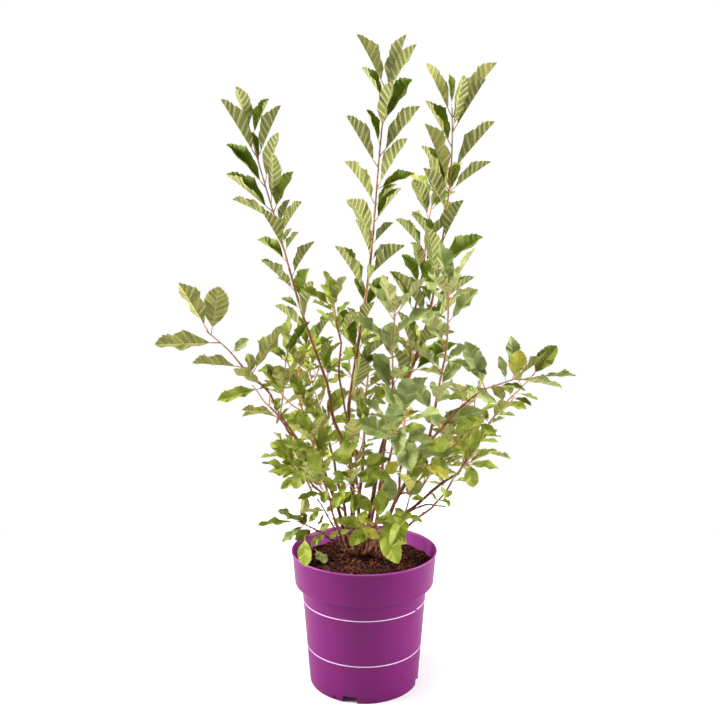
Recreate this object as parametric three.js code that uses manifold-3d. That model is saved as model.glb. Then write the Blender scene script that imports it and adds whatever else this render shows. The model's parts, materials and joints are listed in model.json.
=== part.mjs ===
// A pearlbush in its nursery pot: pot, soil, root crown, one tapering bough for each shoot, and the
// leafy part of each shoot as a mass of leaves. Millimetres, +Z up, front towards -Y.
// The origin is the middle of the pot's foot, on the surface that it stands on.
import * as THREE from "three";
import { mergeVertices } from "three/addons/utils/BufferGeometryUtils.js";
import Module from "manifold-3d";

const wasm = await Module();
wasm.setup();

// Pot: a 230 mm nursery container with a deep collar.
const RIM_RADIUS = 115;
const RIM_HEIGHT = 213;
const LIP_HEIGHT = 4;
const LIP_PROUD = 1.6;
const WALL = 2;
const COLLAR_HEIGHT = 161;
const COLLAR_RADIUS = 109.6;
const BODY_TOP_RADIUS = 99.3;
const FOOT_RADIUS = 86.3;
const FOOT_EDGE = 1.5;
const FOOT_RING_WIDTH = 4.3;
const FLOOR_HEIGHT = 12;
const HUB_RADIUS = 16;
const RIB_COUNT = 6;
const RIB_WIDTH = 3;
const RIB_CLEAR = 3;
const NOTCH_COUNT = 4;
const NOTCH_WIDTH = 22;
const NOTCH_HEIGHT = 10;
const NOTCH_FIRST = -104.7;
const SLIT_WIDTH = 2.5;
const SLIT_HEIGHT = 7;
const SLIT_TURN = -17;
const DRAIN_RADIUS = 5;
const DRAIN_RING = 60;
const ROUND_SEGMENTS = 36;

// Soil: fills the pot to 25 mm under the rim.
const GAP = 0.3;
const SOIL_HEIGHT = 188;
const SOIL_RINGS = [96, 80, 62, 42, 20];
const SOIL_ROUGHNESS = 1.6;

// Root crown: the woody foot that every main stem leaves.
const CROWN_X = -3;
const CROWN_Y = 27;
const CROWN_DEPTH = 4;
const CROWN_SHAPE = [[0, 21], [9, 18.5], [16, 14.5], [20, 8]];
const CROWN_FLAT = 46;
const STUB_SHAPE = [2.1, 1.5, 1];
const STUB_NECK = 6;
const STUB_FOOT = 7;
const STUB_INSET = 0.3;
const ROOT_COUNT = 5;
const ROOT_REACH = 27;
const ROOT_RADII = [8, 3.5];
const ROOT_SLOPE = -14;

// Growth: one rule for all shoots.
const GOLDEN_ANGLE = 137.5;
const FIRST_LEAF = 14;
const LAST_LEAF = 6;
const TURN_RANGE = 30;
const SIZE_LEAST = 0.82;
const SIZE_RANGE = 0.3;
const SPREAD_RANGE = 18;
const CURL_LEAST = 0.04;
const CURL_RANGE = 0.16;
const ROLL_RANGE = 90;
const LIFT = 0.12;
const GAP_LEAST = 0.82;
const GAP_RANGE = 0.36;
const SECOND_TRIES = [0, 50, -50, 100];
const TWIGS_END = 0.86;
const TWIG_STATIONS = [0.3, 0.5, 0.75, 1];
const TWIG_LEAVES = [[0.42, 0.7], [0.69, 0.8], [0.96, 0.9]];
const TWIG_TIP_LEAVES = [[0.95, 24], [0.83, 38]];
const TWIG_TIP_SIZE = 0.85;
const TWIG_TIP_CURL = 0.6;
const TIP_SPREADS = [24, 32, 40];
const TIP_INSET = 2;
const TIP_STEP = 5;
const TIP_LEAF_LEAST = 0.95;
const TIP_LEAF_RANGE = 0.15;
const TIP_CURL = 0.05;
const BEND = 0.45;
const BOUGH_SWAY = 2.5;
const STEM_SWAY = 2;
const TIP_RADIUS = 1;
const TWIG_RADIUS = 1.3;
const STEM_FULLNESS = 1.2;
const LEAF_WIDTH = 0.47;
const LEAF_FOLD = 36;
const LEAF_WIDEST = 0.58;
const LEAF_THICKNESS = 2.4;
const FACE_UPWARD = 0.6;
const SOIL_CLEAR = 8;
const WALL_CLEAR = 3;
const RIM_CLEAR = 7;
const RIM_INSIDE = 12;
const RIM_OUTSIDE = 8;
const CLEAR_OTHER = 6;
const CLEAR_SAME = 4.5;
const CLEAR_LIMB = 3;
const CLEAR_STEM = 2;
const CROSS_MARGIN = 0.02;
const RING_STEP = 30;
const STEM_STEP = 45;
const FINEST = 0.05;
const OLD_WOOD_RADIUS = 2.9;
const SIX_SIDED_RADIUS = 2.5;
const COLLAR_CLEAR = 1.8;
const COLLAR_FLARE = 1.3;

// Every shoot. A foot is where it leaves the root crown; parent and along say where it leaves a bough.
// start is heading and slope in degrees; end is the bough's tip, where the leaves begin; radii are
// the bough's at foot and tip. stem is the leafy part: its start and tip. gaps are the distances
// between leaves at its foot and tip, leaf the leaf's length, spread the angle from leaf to stem.
// twig is how many leaf nodes apart the side twigs stand, and their length. A bough with no stem is
// a dead twig.
const SHOOTS = [
  {
    name: "centre",
    foot: [-14, 24, 208], start: [-166, 84], end: [-24, 12, 440], radii: [4.4, 2.7],
    stem: { start: [-20, 80], tip: [31, -30, 918] },
    gaps: [38, 17], leaf: 82, spread: 40, seed: 27,
  },
  {
    name: "right",
    foot: [4, 32, 212], start: [0, 86], end: [58, 30, 455], radii: [4.2, 2.6],
    stem: { start: [2, 66], tip: [136, 50, 900] },
    gaps: [24, 17], leaf: 86, spread: 44, seed: 12,
  },
  {
    name: "right_mid",
    foot: [17, 16, 211], start: [-31, 62], end: [100, -25, 400], radii: [3.8, 2.2],
    stem: { start: [-25, 76], tip: [121, -75, 622] },
    gaps: [24, 17], leaf: 72, spread: 50, seed: 20,
  },
  {
    name: "orange",
    foot: [6, 8, 208], start: [-60, 74], end: [34, -50, 410], radii: [2.6, 1.9],
    stem: { start: [-57, 80], tip: [43, -85, 591] },
    gaps: [26, 18], leaf: 70, spread: 50, seed: 12,
  },
  {
    name: "left_mid",
    foot: [-27, 30, 206], start: [164, 74], end: [-72, 35, 359], radii: [3.2, 2.1],
    stem: { start: [164, 68], tip: [-126, 62, 508] },
    gaps: [15, 12], leaf: 68, spread: 58, twig: [2, 45], droop: 0.5, seed: 29,
  },
  {
    name: "right_low",
    foot: [24, 30, 206], start: [9, 58], end: [151, 30, 325], radii: [3.0, 1.9],
    stem: { start: [11, 62], tip: [277, 60, 484] },
    gaps: [19, 13], leaf: 70, spread: 52, twig: [3, 42], droop: 0.5, seed: 34,
  },
  {
    name: "lower_right",
    foot: [24, 2, 203], start: [-31, 48], end: [104, -30, 287], radii: [2.2, 1.6],
    stem: { start: [-22, 54], tip: [154, -60, 369] },
    gaps: [26, 12], leaf: 50, spread: 55, droop: 0.5, seed: 34,
  },
  {
    name: "front_left",
    foot: [-24, 6, 202], start: [-127, 50], end: [-52, -40, 301], radii: [2.4, 1.6],
    stem: { start: [-129, 70], tip: [-78, -80, 404] },
    gaps: [18, 13], leaf: 56, spread: 55, twig: [3, 36], droop: 0.5, seed: 15,
  },
  {
    name: "left_low",
    foot: [-30, 18, 204], start: [-152, 42], end: [-70, 4, 238], radii: [2.2, 1.5],
    stem: { start: [-160, 28], tip: [-102, -12, 259] },
    gaps: [12, 10], leaf: 52, spread: 60, twig: [2, 30], droop: 0.5, seed: 33,
  },
  {
    name: "front_low",
    foot: [-8, 4, 203], start: [-76, 48], end: [6, -20, 245], radii: [2.0, 1.5],
    stem: { start: [-64, 42], tip: [19, -60, 277] },
    gaps: [11, 10], leaf: 58, spread: 62, droop: 0.5, seed: 24,
  },
  {
    name: "centre_rear",
    foot: [-6, 46, 208], start: [100, 73], end: [2, 80, 391], radii: [3.2, 2.0],
    stem: { start: [79, 68], tip: [5, 135, 520] },
    gaps: [15, 12], leaf: 64, spread: 58, twig: [3, 46], droop: 0.5, seed: 25,
  },
  {
    name: "rear_left",
    foot: [-22, 48, 205], start: [125, 66], end: [-50, 95, 330], radii: [3.0, 1.9],
    stem: { start: [125, 62], tip: [-95, 150, 480] },
    gaps: [16, 12], leaf: 64, spread: 58, twig: [3, 46], droop: 0.5, seed: 9,
  },
  {
    name: "rear_right",
    foot: [12, 48, 207], start: [60, 68], end: [45, 100, 340], radii: [3.0, 1.9],
    stem: { start: [60, 66], tip: [95, 175, 505] },
    gaps: [16, 12], leaf: 64, spread: 58, twig: [3, 46], droop: 0.5, seed: 10,
  },
  {
    name: "left_tall",
    parent: "centre", along: 0.66, start: [178, 66], end: [-58, 14, 474], radii: [2.6, 2.2],
    stem: { start: [172, 70], tip: [-181, 60, 876] },
    gaps: [28, 15], leaf: 76, spread: 42, seed: 7,
  },
  {
    name: "right_rear",
    parent: "right", along: 0.73, start: [39, 60], end: [79, 60, 570], radii: [2.3, 1.8],
    stem: { start: [44, 75], tip: [116, 120, 781] },
    gaps: [22, 17], leaf: 70, spread: 46, seed: 27,
  },
  {
    name: "front_big",
    parent: "right_mid", along: 0.38, start: [-77, 48], end: [56, -60, 369], radii: [2.0, 1.6],
    stem: { start: [-86, 70], tip: [57, -110, 446] },
    gaps: [17, 13], leaf: 78, spread: 60, droop: 0.5, seed: 29,
  },
  {
    name: "right_arch",
    parent: "right_mid", along: 0.9, start: [-20, 50], end: [133, -40, 434], radii: [2.1, 1.7],
    stem: { start: [-8, 50], tip: [221, -60, 491] },
    gaps: [16, 12], leaf: 62, spread: 55, twig: [3, 36], droop: 0.5, seed: 18,
  },
  {
    name: "right_twig",
    parent: "right_mid", along: 0.62, start: [45, 20], end: [120, 10, 352], radii: [1.8, 1.5],
    stem: { start: [18, 43], tip: [166, 40, 389] },
    gaps: [15, 12], leaf: 58, spread: 58, twig: [2, 34], droop: 0.5, seed: 36,
  },
  {
    name: "left_long",
    parent: "left_mid", along: 0.9, start: [-158, 38], end: [-145, 0, 458], radii: [2.1, 1.7],
    stem: { start: [-165, 50], tip: [-235, -40, 560] },
    gaps: [22, 15], leaf: 80, spread: 52, twig: [2, 34], seed: 1,
  },
  {
    name: "left_out",
    parent: "left_mid", along: 0.5, start: [-160, 30], end: [-88, 10, 322], radii: [1.8, 1.5],
    stem: { start: [-160, 30], tip: [-106, -12, 346] },
    gaps: [12, 11], leaf: 60, spread: 60, twig: [2, 34], droop: 0.5, seed: 15,
  },
  {
    name: "left_thin",
    parent: "left_long", along: 0.35, start: [-118, 35], end: [-124, -20, 417], radii: [1.6, 1.4],
    stem: { start: [-136, 49], tip: [-164, -70, 483] },
    gaps: [14, 12], leaf: 58, spread: 56, twig: [2, 32], droop: 0.5, seed: 5,
  },
  {
    name: "centre_front",
    parent: "orange", along: 0.3, start: [-120, 50], end: [-5, -62, 310], radii: [1.8, 1.5],
    stem: { start: [-120, 66], tip: [-15, -85, 395] },
    gaps: [14, 12], leaf: 60, spread: 58, twig: [2, 36], droop: 0.5, seed: 12,
  },
  {
    name: "front_right",
    parent: "right_mid", along: 0.2, start: [-55, 30], end: [52, -40, 268], radii: [1.8, 1.5],
    stem: { start: [-60, 45], tip: [72, -66, 330] },
    gaps: [12, 10], leaf: 60, spread: 66, droop: 0.7, seed: 26,
  },
  {
    name: "centre_side",
    parent: "centre", along: 0.9, start: [-120, 60], end: [-35, -22, 540], radii: [1.7, 1.4],
    stem: { start: [-119, 65], tip: [-45, -55, 600] },
    gaps: [12, 10], leaf: 60, spread: 52, seed: 5,
  },
  {
    name: "rear_low_left",
    parent: "rear_left", along: 0.4, start: [160, 35], end: [-88, 102, 275], radii: [1.9, 1.5],
    stem: { start: [140, 58], tip: [-125, 135, 350] },
    gaps: [13, 11], leaf: 58, spread: 60, twig: [2, 36], droop: 0.5, seed: 17,
  },
  {
    name: "rear_low_right",
    parent: "rear_right", along: 0.4, start: [20, 35], end: [92, 98, 275], radii: [1.9, 1.5],
    stem: { start: [30, 48], tip: [150, 130, 340] },
    gaps: [13, 11], leaf: 58, spread: 60, twig: [2, 36], droop: 0.5, seed: 12,
  },
  {
    name: "bare_right",
    parent: "right_low", along: 0.4, start: [-22, 32], end: [128, 5, 278], radii: [1.4, 0.8],
  },
  {
    name: "bare_left",
    parent: "left_low", along: 0.35, start: [-112, 66], end: [-73, -20, 298], radii: [1.4, 0.8],
  },
];

const { cos, sin, sqrt, abs, min, max, PI, hypot } = Math;
const radians = THREE.MathUtils.degToRad;
const vector = (p) => new THREE.Vector3(...p);
const along = (p, d, distance) => p.clone().addScaledVector(d, distance);
const UP = vector([0, 0, 1]);

// Random numbers from 0 to 1, the same each time for the same seed.
function seeded(seed) {
  let state = seed >>> 0;
  const draw = () => {
    state = (Math.imul(state, 1664525) + 1013904223) >>> 0;
    return state / 4294967296;
  };
  for (let i = 0; i < 4; i++) draw();
  return draw;
}

// The direction that has this heading and slope.
function aim([heading, slope]) {
  const h = radians(heading);
  const s = radians(slope);
  return vector([cos(s) * cos(h), cos(s) * sin(h), sin(s)]);
}

// Two directions square to t and to each other.
function across(t) {
  const away = abs(t.z) < 0.8 ? UP : vector([1, 0, 0]);
  const u = t.clone().cross(away).normalize();
  return [u, t.clone().cross(u)];
}

// A limb's centre line: a curve with one bend and a slight sway from side to side.
class Path {
  constructor(foot, start, end, sway = 0, turn = 0) {
    this.length = foot.distanceTo(end);
    this.curve = new THREE.QuadraticBezierCurve3(foot, along(foot, start, this.length * BEND), end);
    [this.u, this.v] = across(end.clone().sub(foot).normalize());
    this.sway = sway;
    this.turn = turn;
  }

  at(t) {
    const sway = this.sway * sin(PI * t);
    return this.curve
      .getPoint(t)
      .addScaledVector(this.u, sway * sin(9 * t + this.turn))
      .addScaledVector(this.v, sway * cos(7 * t + this.turn));
  }

  heading(t) {
    return this.at(min(t + 0.01, 1)).sub(this.at(max(t - 0.01, 0))).normalize();
  }

  points(count) {
    return Array.from({ length: count + 1 }, (_, i) => this.at(i / count));
  }
}

// A closed solid from a geometry, with its shared vertices merged and its flat triangles dropped.
function solid(geometry) {
  const bare = new THREE.BufferGeometry().setAttribute("position", geometry.getAttribute("position"));
  if (geometry.index) bare.setIndex(geometry.index);
  const merged = mergeVertices(bare, 1e-4);
  const index = merged.index.array;
  const triangles = [];
  for (let i = 0; i < index.length; i += 3) {
    const [a, b, c] = index.subarray(i, i + 3);
    if (a !== b && b !== c && c !== a) triangles.push(a, b, c);
  }
  const vertProperties = new Float32Array(merged.getAttribute("position").array);
  const triVerts = new Uint32Array(triangles);
  return new wasm.Manifold(new wasm.Mesh({ numProp: 3, vertProperties, triVerts }));
}

// The geometry of a solid, for its mesh.
function geometryOf(body) {
  const { vertProperties, triVerts } = body.getMesh();
  return new THREE.BufferGeometry()
    .setAttribute("position", new THREE.BufferAttribute(vertProperties, 3))
    .setIndex(new THREE.BufferAttribute(triVerts, 1));
}

// All bodies in one, with no edge shorter than FINEST. A hollow that this seals is filled, and a
// loose scrap is dropped.
function join(bodies) {
  const pieces = wasm.Manifold.union(bodies).simplify(FINEST).decompose();
  return pieces.reduce((best, piece) => (piece.volume() > best.volume() ? piece : best));
}

// A skin over rings of points, closed by flat ends, or by one point at the far end.
function skin(rings, point = null) {
  const sides = rings[0].length;
  const places = rings.flat();
  const index = [];
  for (let i = 1; i < sides - 1; i++) index.push(0, i + 1, i);
  for (let r = 0; r < rings.length - 1; r++)
    for (let i = 0; i < sides; i++) {
      const a = r * sides + i;
      const b = r * sides + ((i + 1) % sides);
      index.push(a, b, b + sides, a, b + sides, a + sides);
    }
  const last = (rings.length - 1) * sides;
  if (point) {
    places.push(point);
    for (let i = 0; i < sides; i++) index.push(last + i, last + ((i + 1) % sides), places.length - 1);
  } else {
    for (let i = 1; i < sides - 1; i++) index.push(last, last + i, last + i + 1);
  }
  return solid(new THREE.BufferGeometry().setFromPoints(places).setIndex(index));
}

// A tapering limb along points. Its end faces are square to startWay and endWay where they are given.
function tube(points, radii, sides, startWay = null, endWay = null) {
  let u = null;
  const rings = points.map((p, i) => {
    const before = points[max(i - 1, 0)];
    const after = points[min(i + 1, points.length - 1)];
    let way = after.clone().sub(before).normalize();
    if (i === 0 && startWay) way = startWay;
    if (i === points.length - 1 && endWay) way = endWay;
    u = u ? u.clone().addScaledVector(way, -u.dot(way)).normalize() : across(way)[0];
    const v = way.clone().cross(u);
    return Array.from({ length: sides }, (_, k) => {
      const turn = (2 * PI * k) / sides;
      return along(along(p, u, radii[i] * cos(turn)), v, radii[i] * sin(turn));
    });
  });
  return skin(rings);
}

const steps = (a, b, count) => Array.from({ length: count + 1 }, (_, i) => a + ((b - a) * i) / count);

// The solid that turns a profile of [radius, height] round the upright axis.
function turned(profile, segments = ROUND_SEGMENTS) {
  const shape = profile.map(([r, z]) => new THREE.Vector2(r, z));
  return solid(new THREE.LatheGeometry(shape, segments).rotateX(PI / 2));
}

function block(width, depth, height, x, y, z) {
  return new THREE.BoxGeometry(width, depth, height).translate(x, y, z);
}

const turnedBy = (geometry, degrees) => solid(geometry.rotateZ(radians(degrees)));

// The pot: body, collar and lip in one turned wall, a raised floor on a foot ring, hub and ribs.
function makePot() {
  const floorTop = FLOOR_HEIGHT + WALL;
  const slope = (BODY_TOP_RADIUS - FOOT_RADIUS) / COLLAR_HEIGHT;
  const profile = [
    [0, 0],
    [HUB_RADIUS, 0],
    [HUB_RADIUS, FLOOR_HEIGHT],
    [FOOT_RADIUS - FOOT_RING_WIDTH, FLOOR_HEIGHT],
    [FOOT_RADIUS - FOOT_RING_WIDTH, 0],
    [FOOT_RADIUS - FOOT_EDGE, 0],
    [FOOT_RADIUS, FOOT_EDGE],
    [BODY_TOP_RADIUS, COLLAR_HEIGHT - 0.5],
    [COLLAR_RADIUS, COLLAR_HEIGHT + 1],
    [RIM_RADIUS - LIP_PROUD, RIM_HEIGHT - LIP_HEIGHT],
    [RIM_RADIUS, RIM_HEIGHT - LIP_HEIGHT + 1],
    [RIM_RADIUS, RIM_HEIGHT - 1],
    [RIM_RADIUS - 1, RIM_HEIGHT],
    [RIM_RADIUS - 3, RIM_HEIGHT],
    [RIM_RADIUS - LIP_PROUD - WALL, RIM_HEIGHT - LIP_HEIGHT],
    [COLLAR_RADIUS - WALL, COLLAR_HEIGHT + 2.5],
    [BODY_TOP_RADIUS - WALL, COLLAR_HEIGHT - 2],
    [FOOT_RADIUS + slope * floorTop - WALL, floorTop],
    [0, floorTop],
  ];
  let pot = turned(profile);
  const ribLength = FOOT_RADIUS - HUB_RADIUS;
  const ribHeight = FLOOR_HEIGHT - RIB_CLEAR + 0.5;
  for (let i = 0; i < RIB_COUNT; i++) {
    const middle = [HUB_RADIUS - 2 + ribLength / 2, 0, RIB_CLEAR + ribHeight / 2];
    const rib = block(ribLength, RIB_WIDTH, ribHeight, ...middle);
    pot = pot.add(turnedBy(rib, (i * 360) / RIB_COUNT + 15));
  }
  for (let i = 0; i < NOTCH_COUNT; i++) {
    const turn = NOTCH_FIRST + (i * 360) / NOTCH_COUNT;
    const notch = block(20, NOTCH_WIDTH, 2 * NOTCH_HEIGHT, FOOT_RADIUS, 0, 0);
    const slit = block(20, SLIT_WIDTH, 2 * SLIT_HEIGHT, FOOT_RADIUS, 0, 0);
    pot = pot.subtract(turnedBy(notch, turn)).subtract(turnedBy(slit, turn + SLIT_TURN));
  }
  for (let i = 0; i < RIB_COUNT; i++) {
    const drain = new THREE.CylinderGeometry(DRAIN_RADIUS, DRAIN_RADIUS, 4 * WALL, 10);
    drain.rotateX(PI / 2).translate(DRAIN_RING, 0, FLOOR_HEIGHT + WALL / 2);
    pot = pot.subtract(turnedBy(drain, (i * 360) / RIB_COUNT + 45));
  }
  return pot;
}

// Height of the soil's surface: uneven, and flat where the root crown stands.
function soilHeight(x, y) {
  const bumps = sin(x * 0.11 + 1) * cos(y * 0.13) + 0.7 * sin(x * 0.05 - y * 0.09);
  return hypot(x - CROWN_X, y - CROWN_Y) < CROWN_FLAT ? SOIL_HEIGHT : SOIL_HEIGHT + SOIL_ROUGHNESS * bumps;
}

// The soil: the pot's inside, a hair smaller, with an uneven top.
function makeSoil() {
  const bottom = FLOOR_HEIGHT + WALL + GAP;
  const slope = (BODY_TOP_RADIUS - FOOT_RADIUS) / COLLAR_HEIGHT;
  const inset = WALL + GAP + 0.1;
  const collarSlope = (RIM_RADIUS - LIP_PROUD - COLLAR_RADIUS) / (RIM_HEIGHT - LIP_HEIGHT - COLLAR_HEIGHT);
  const walls = [
    [FOOT_RADIUS + slope * bottom - inset, bottom],
    [BODY_TOP_RADIUS - inset, COLLAR_HEIGHT - 1.6],
    [COLLAR_RADIUS - inset, COLLAR_HEIGHT + 3],
  ];
  const edge = COLLAR_RADIUS - inset + collarSlope * (SOIL_HEIGHT - SOIL_ROUGHNESS * 2 - COLLAR_HEIGHT);
  const ring = (radius, height) =>
    Array.from({ length: ROUND_SEGMENTS }, (_, i) => {
      const turn = (2 * PI * i) / ROUND_SEGMENTS;
      const [x, y] = [radius * cos(turn), radius * sin(turn)];
      return vector([x, y, height ?? soilHeight(x, y)]);
    });
  const rings = walls.map(([radius, height]) => ring(radius, height));
  for (const radius of [edge, ...SOIL_RINGS]) rings.push(ring(radius));
  return skin(rings, vector([0, 0, soilHeight(0, 0)]));
}

// Paths of every shoot's bough and stem, and the collar that carries each side bough.
function layOut() {
  const shoots = new Map();
  SHOOTS.forEach((spec, i) => {
    const way = aim(spec.start);
    const shoot = { spec, index: i, way, collars: [] };
    let foot;
    if (spec.parent) {
      const parent = shoots.get(spec.parent);
      const from = parent.bough.at(spec.along);
      const [thick, thin] = parent.spec.radii;
      const radius = thick + (thin - thick) * spec.along;
      const lean = parent.bough.heading(spec.along).dot(way);
      const reach = (radius + spec.radii[0] * abs(lean) + COLLAR_CLEAR) / sqrt(1 - lean * lean);
      parent.collars.push({ from, way, reach, radius: spec.radii[0] });
      foot = along(from, way, reach + GAP);
    } else foot = vector(spec.foot);
    shoot.bough = new Path(foot, way, vector(spec.end), BOUGH_SWAY, i * 1.7);
    shoot.endWay = shoot.bough.heading(1);
    if (spec.stem) {
      const begin = along(vector(spec.end), shoot.endWay, GAP);
      shoot.stem = new Path(begin, aim(spec.stem.start), vector(spec.stem.tip), STEM_SWAY, i * 2.3);
    }
    shoots.set(spec.name, shoot);
  });
  return [...shoots.values()];
}

// A leaf stands at a root on a stem that heads along way, turned round it by azimuth and leaning out
// by spread; lift raises or lowers it, roll twists it and curl bends it back towards its tip.
function leafAt(root, way, azimuth, spread, lift, length, curl, roll) {
  const [u, v] = across(way);
  const [a, s, r] = [azimuth, spread, roll].map(radians);
  const out = u.multiplyScalar(cos(a)).addScaledVector(v, sin(a));
  const d = way.clone().multiplyScalar(cos(s)).addScaledVector(out, sin(s));
  d.z += lift;
  d.normalize();
  let face = way.clone().add(UP).multiplyScalar(FACE_UPWARD);
  face.addScaledVector(d, -face.dot(d));
  if (face.lengthSq() < 0.02) face = v.clone().addScaledVector(d, -v.dot(d));
  face.normalize();
  const wide = d.clone().cross(face);
  const n = face.clone().multiplyScalar(cos(r)).addScaledVector(wide, sin(r));
  const w = wide.multiplyScalar(cos(r)).addScaledVector(face, -sin(r));
  return { root, d, n, w, length, curl };
}

// A point of a leaf: s from root to tip, side -1, 0 or 1, and part of the leaf's greatest half width.
function leafPoint(leaf, s, side = 0, part = 0) {
  const half = (part * leaf.length * LEAF_WIDTH) / 2;
  const fold = radians(LEAF_FOLD);
  const p = along(leaf.root, leaf.d, leaf.length * s);
  p.addScaledVector(leaf.n, -leaf.curl * leaf.length * s * s);
  if (side) p.addScaledVector(leaf.w, side * half * cos(fold)).addScaledVector(leaf.n, half * sin(fold));
  return p;
}

const MIDRIB_STATIONS = [0.3, 0.45, 0.6, 0.75, 0.9, 1];
const WING_STATIONS = [[0.45, 0.7], [0.6, 1], [0.8, 0.5], [0.6, 0.5]];

function leafSamples(leaf) {
  const points = MIDRIB_STATIONS.map((s) => leafPoint(leaf, s));
  for (const [s, part] of WING_STATIONS)
    points.push(leafPoint(leaf, s, 1, part), leafPoint(leaf, s, -1, part));
  return points;
}

// A leaf's two wings as four triangles, and the lines that bound them.
function wingsOf(leaf) {
  const [foot, middle, tip] = [0.2, LEAF_WIDEST, 1].map((s) => leafPoint(leaf, s));
  const [left, right] = [-1, 1].map((side) => leafPoint(leaf, LEAF_WIDEST, side, 1));
  const faces = [[foot, left, middle], [left, tip, middle], [foot, middle, right], [middle, tip, right]];
  const lines = [[foot, left], [left, tip], [tip, right], [right, foot], [foot, middle], [middle, tip]];
  return { faces, lines, middle, length: leaf.length };
}

// Whether a line meets a face, or passes it very closely.
function meet([from, to], [a, b, c]) {
  const way = to.clone().sub(from);
  const [e, f] = [b.clone().sub(a), c.clone().sub(a)];
  const p = way.clone().cross(f);
  const scale = e.dot(p);
  if (abs(scale) < 1e-9) return false;
  const out = from.clone().sub(a);
  const q = out.clone().cross(e);
  const [u, v, t] = [out.dot(p) / scale, way.dot(q) / scale, f.dot(q) / scale];
  const [low, high] = [-CROSS_MARGIN, 1 + CROSS_MARGIN];
  return u > low && v > low && u + v < high && t > low && t < high;
}

// The room that limbs and leaves already take.
class Room {
  limbs = [];
  points = [];
  wings = [];

  addLimb(path, [r0, r1], owner, count = 8) {
    const points = path.points(count);
    for (let i = 0; i < count; i++) {
      const radius = r0 + ((r1 - r0) * i) / count;
      this.limbs.push({ line: new THREE.Line3(points[i], points[i + 1]), radius, owner });
    }
  }

  addPoints(points, owner) {
    for (const p of points) this.points.push({ p, owner });
  }

  addLeaf(leaf, owner) {
    this.addPoints(leafSamples(leaf), owner);
    this.wings.push(wingsOf(leaf));
  }

  isCrossed(leaf) {
    const own = wingsOf(leaf);
    const touch = (one, two) => one.lines.some((line) => two.faces.some((face) => meet(line, face)));
    return this.wings.some(
      (other) =>
        other.middle.distanceTo(own.middle) < 0.6 * (other.length + own.length) &&
        (touch(own, other) || touch(other, own)),
    );
  }

  isFree(points, owner) {
    const nearest = vector([0, 0, 0]);
    return points.every((p, i) => {
      const out = hypot(p.x, p.y);
      if (p.z < SOIL_HEIGHT + SOIL_CLEAR && out < RIM_RADIUS - WALL_CLEAR) return false;
      const overRim = out > RIM_RADIUS - RIM_INSIDE && out < RIM_RADIUS + RIM_OUTSIDE;
      if (p.z < RIM_HEIGHT + RIM_CLEAR && overRim) return false;
      for (const limb of this.limbs) {
        const own = limb.owner === owner;
        if (own && i === 0) continue;
        limb.line.closestPointToPoint(p, true, nearest);
        if (nearest.distanceTo(p) - limb.radius < (own ? CLEAR_STEM : CLEAR_LIMB)) return false;
      }
      for (const other of this.points) {
        const own = other.owner === owner;
        if (own && i === 0) continue;
        if (other.p.distanceTo(p) < (own ? CLEAR_SAME : CLEAR_OTHER)) return false;
      }
      return true;
    });
  }
}

// The leaves and side twigs of one shoot, by the seeded rule.
function grow({ spec, stem, index }, room) {
  const draw = seeded(spec.seed);
  const turn = draw() * 360;
  const [gapFoot, gapTip] = spec.gaps;
  const [every, twigLength] = spec.twig ?? [0, 0];
  const droop = spec.droop ?? 0;
  const leaves = [];
  const twigs = [];
  const tryLeaf = (root, way, azimuth, spread, lift, length, curl, roll = 0, twig = null) => {
    for (const change of SECOND_TRIES) {
      const leaf = leafAt(root, way, azimuth + change, spread, lift, length, curl, roll);
      if (!room.isFree(leafSamples(leaf), index) || room.isCrossed(leaf)) continue;
      room.addLeaf(leaf, index);
      leaves.push({ ...leaf, twig });
      return;
    }
  };
  let k = 0;
  for (let s = FIRST_LEAF; s < stem.length - LAST_LEAF; k++) {
    const t = s / stem.length;
    const place = stem.at(t);
    const way = stem.heading(t);
    const azimuth = turn + k * GOLDEN_ANGLE + (draw() - 0.5) * TURN_RANGE;
    const size = spec.leaf * (SIZE_LEAST + SIZE_RANGE * draw());
    const spread = spec.spread + (draw() - 0.5) * SPREAD_RANGE;
    const curl = CURL_LEAST + CURL_RANGE * draw();
    const vigour = draw();
    const roll = (draw() - 0.5) * ROLL_RANGE;
    const lift = LIFT - droop * draw();
    let twig = null;
    if (every && k % every === 0 && t < TWIGS_END) {
      const out = leafAt(place, way, azimuth, spread, 0.15, 1, 0, 0).d;
      const reach = twigLength * (0.7 + 0.6 * vigour);
      twig = new Path(place, out, along(along(place, out, reach * 0.75), UP, reach * 0.45));
      const points = TWIG_STATIONS.map((q) => twig.at(q));
      if (room.isFree(points, index)) room.addPoints(points.slice(1), index);
      else twig = null;
    }
    if (twig) {
      twigs.push(twig);
      TWIG_LEAVES.forEach(([q, share], m) => {
        const turnHere = turn + m * GOLDEN_ANGLE + k * 40;
        const length = size * share;
        tryLeaf(twig.at(q), twig.heading(q), turnHere, spread + 4, lift, length, curl, roll * (1 - m), twig);
      });
      TWIG_TIP_LEAVES.forEach(([q, lean], m) => {
        const turnHere = turn + 180 * m + k * 70;
        const [length, bend] = [size * TWIG_TIP_SIZE, curl * TWIG_TIP_CURL];
        tryLeaf(twig.at(q), twig.heading(q), turnHere, lean, lift * 0.5, length, bend, roll, twig);
      });
    } else tryLeaf(place, way, azimuth, spread, lift, size, curl, roll);
    s += (gapFoot + (gapTip - gapFoot) * t) * (GAP_LEAST + GAP_RANGE * draw());
  }
  TIP_SPREADS.forEach((spread, m) => {
    const q = 1 - (TIP_INSET + TIP_STEP * m) / stem.length;
    const length = spec.leaf * (TIP_LEAF_LEAST + TIP_LEAF_RANGE * draw());
    tryLeaf(stem.at(q), stem.heading(q), turn + 120 * m, spread, 0, length, TIP_CURL);
  });
  return { leaves, twigs };
}

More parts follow.
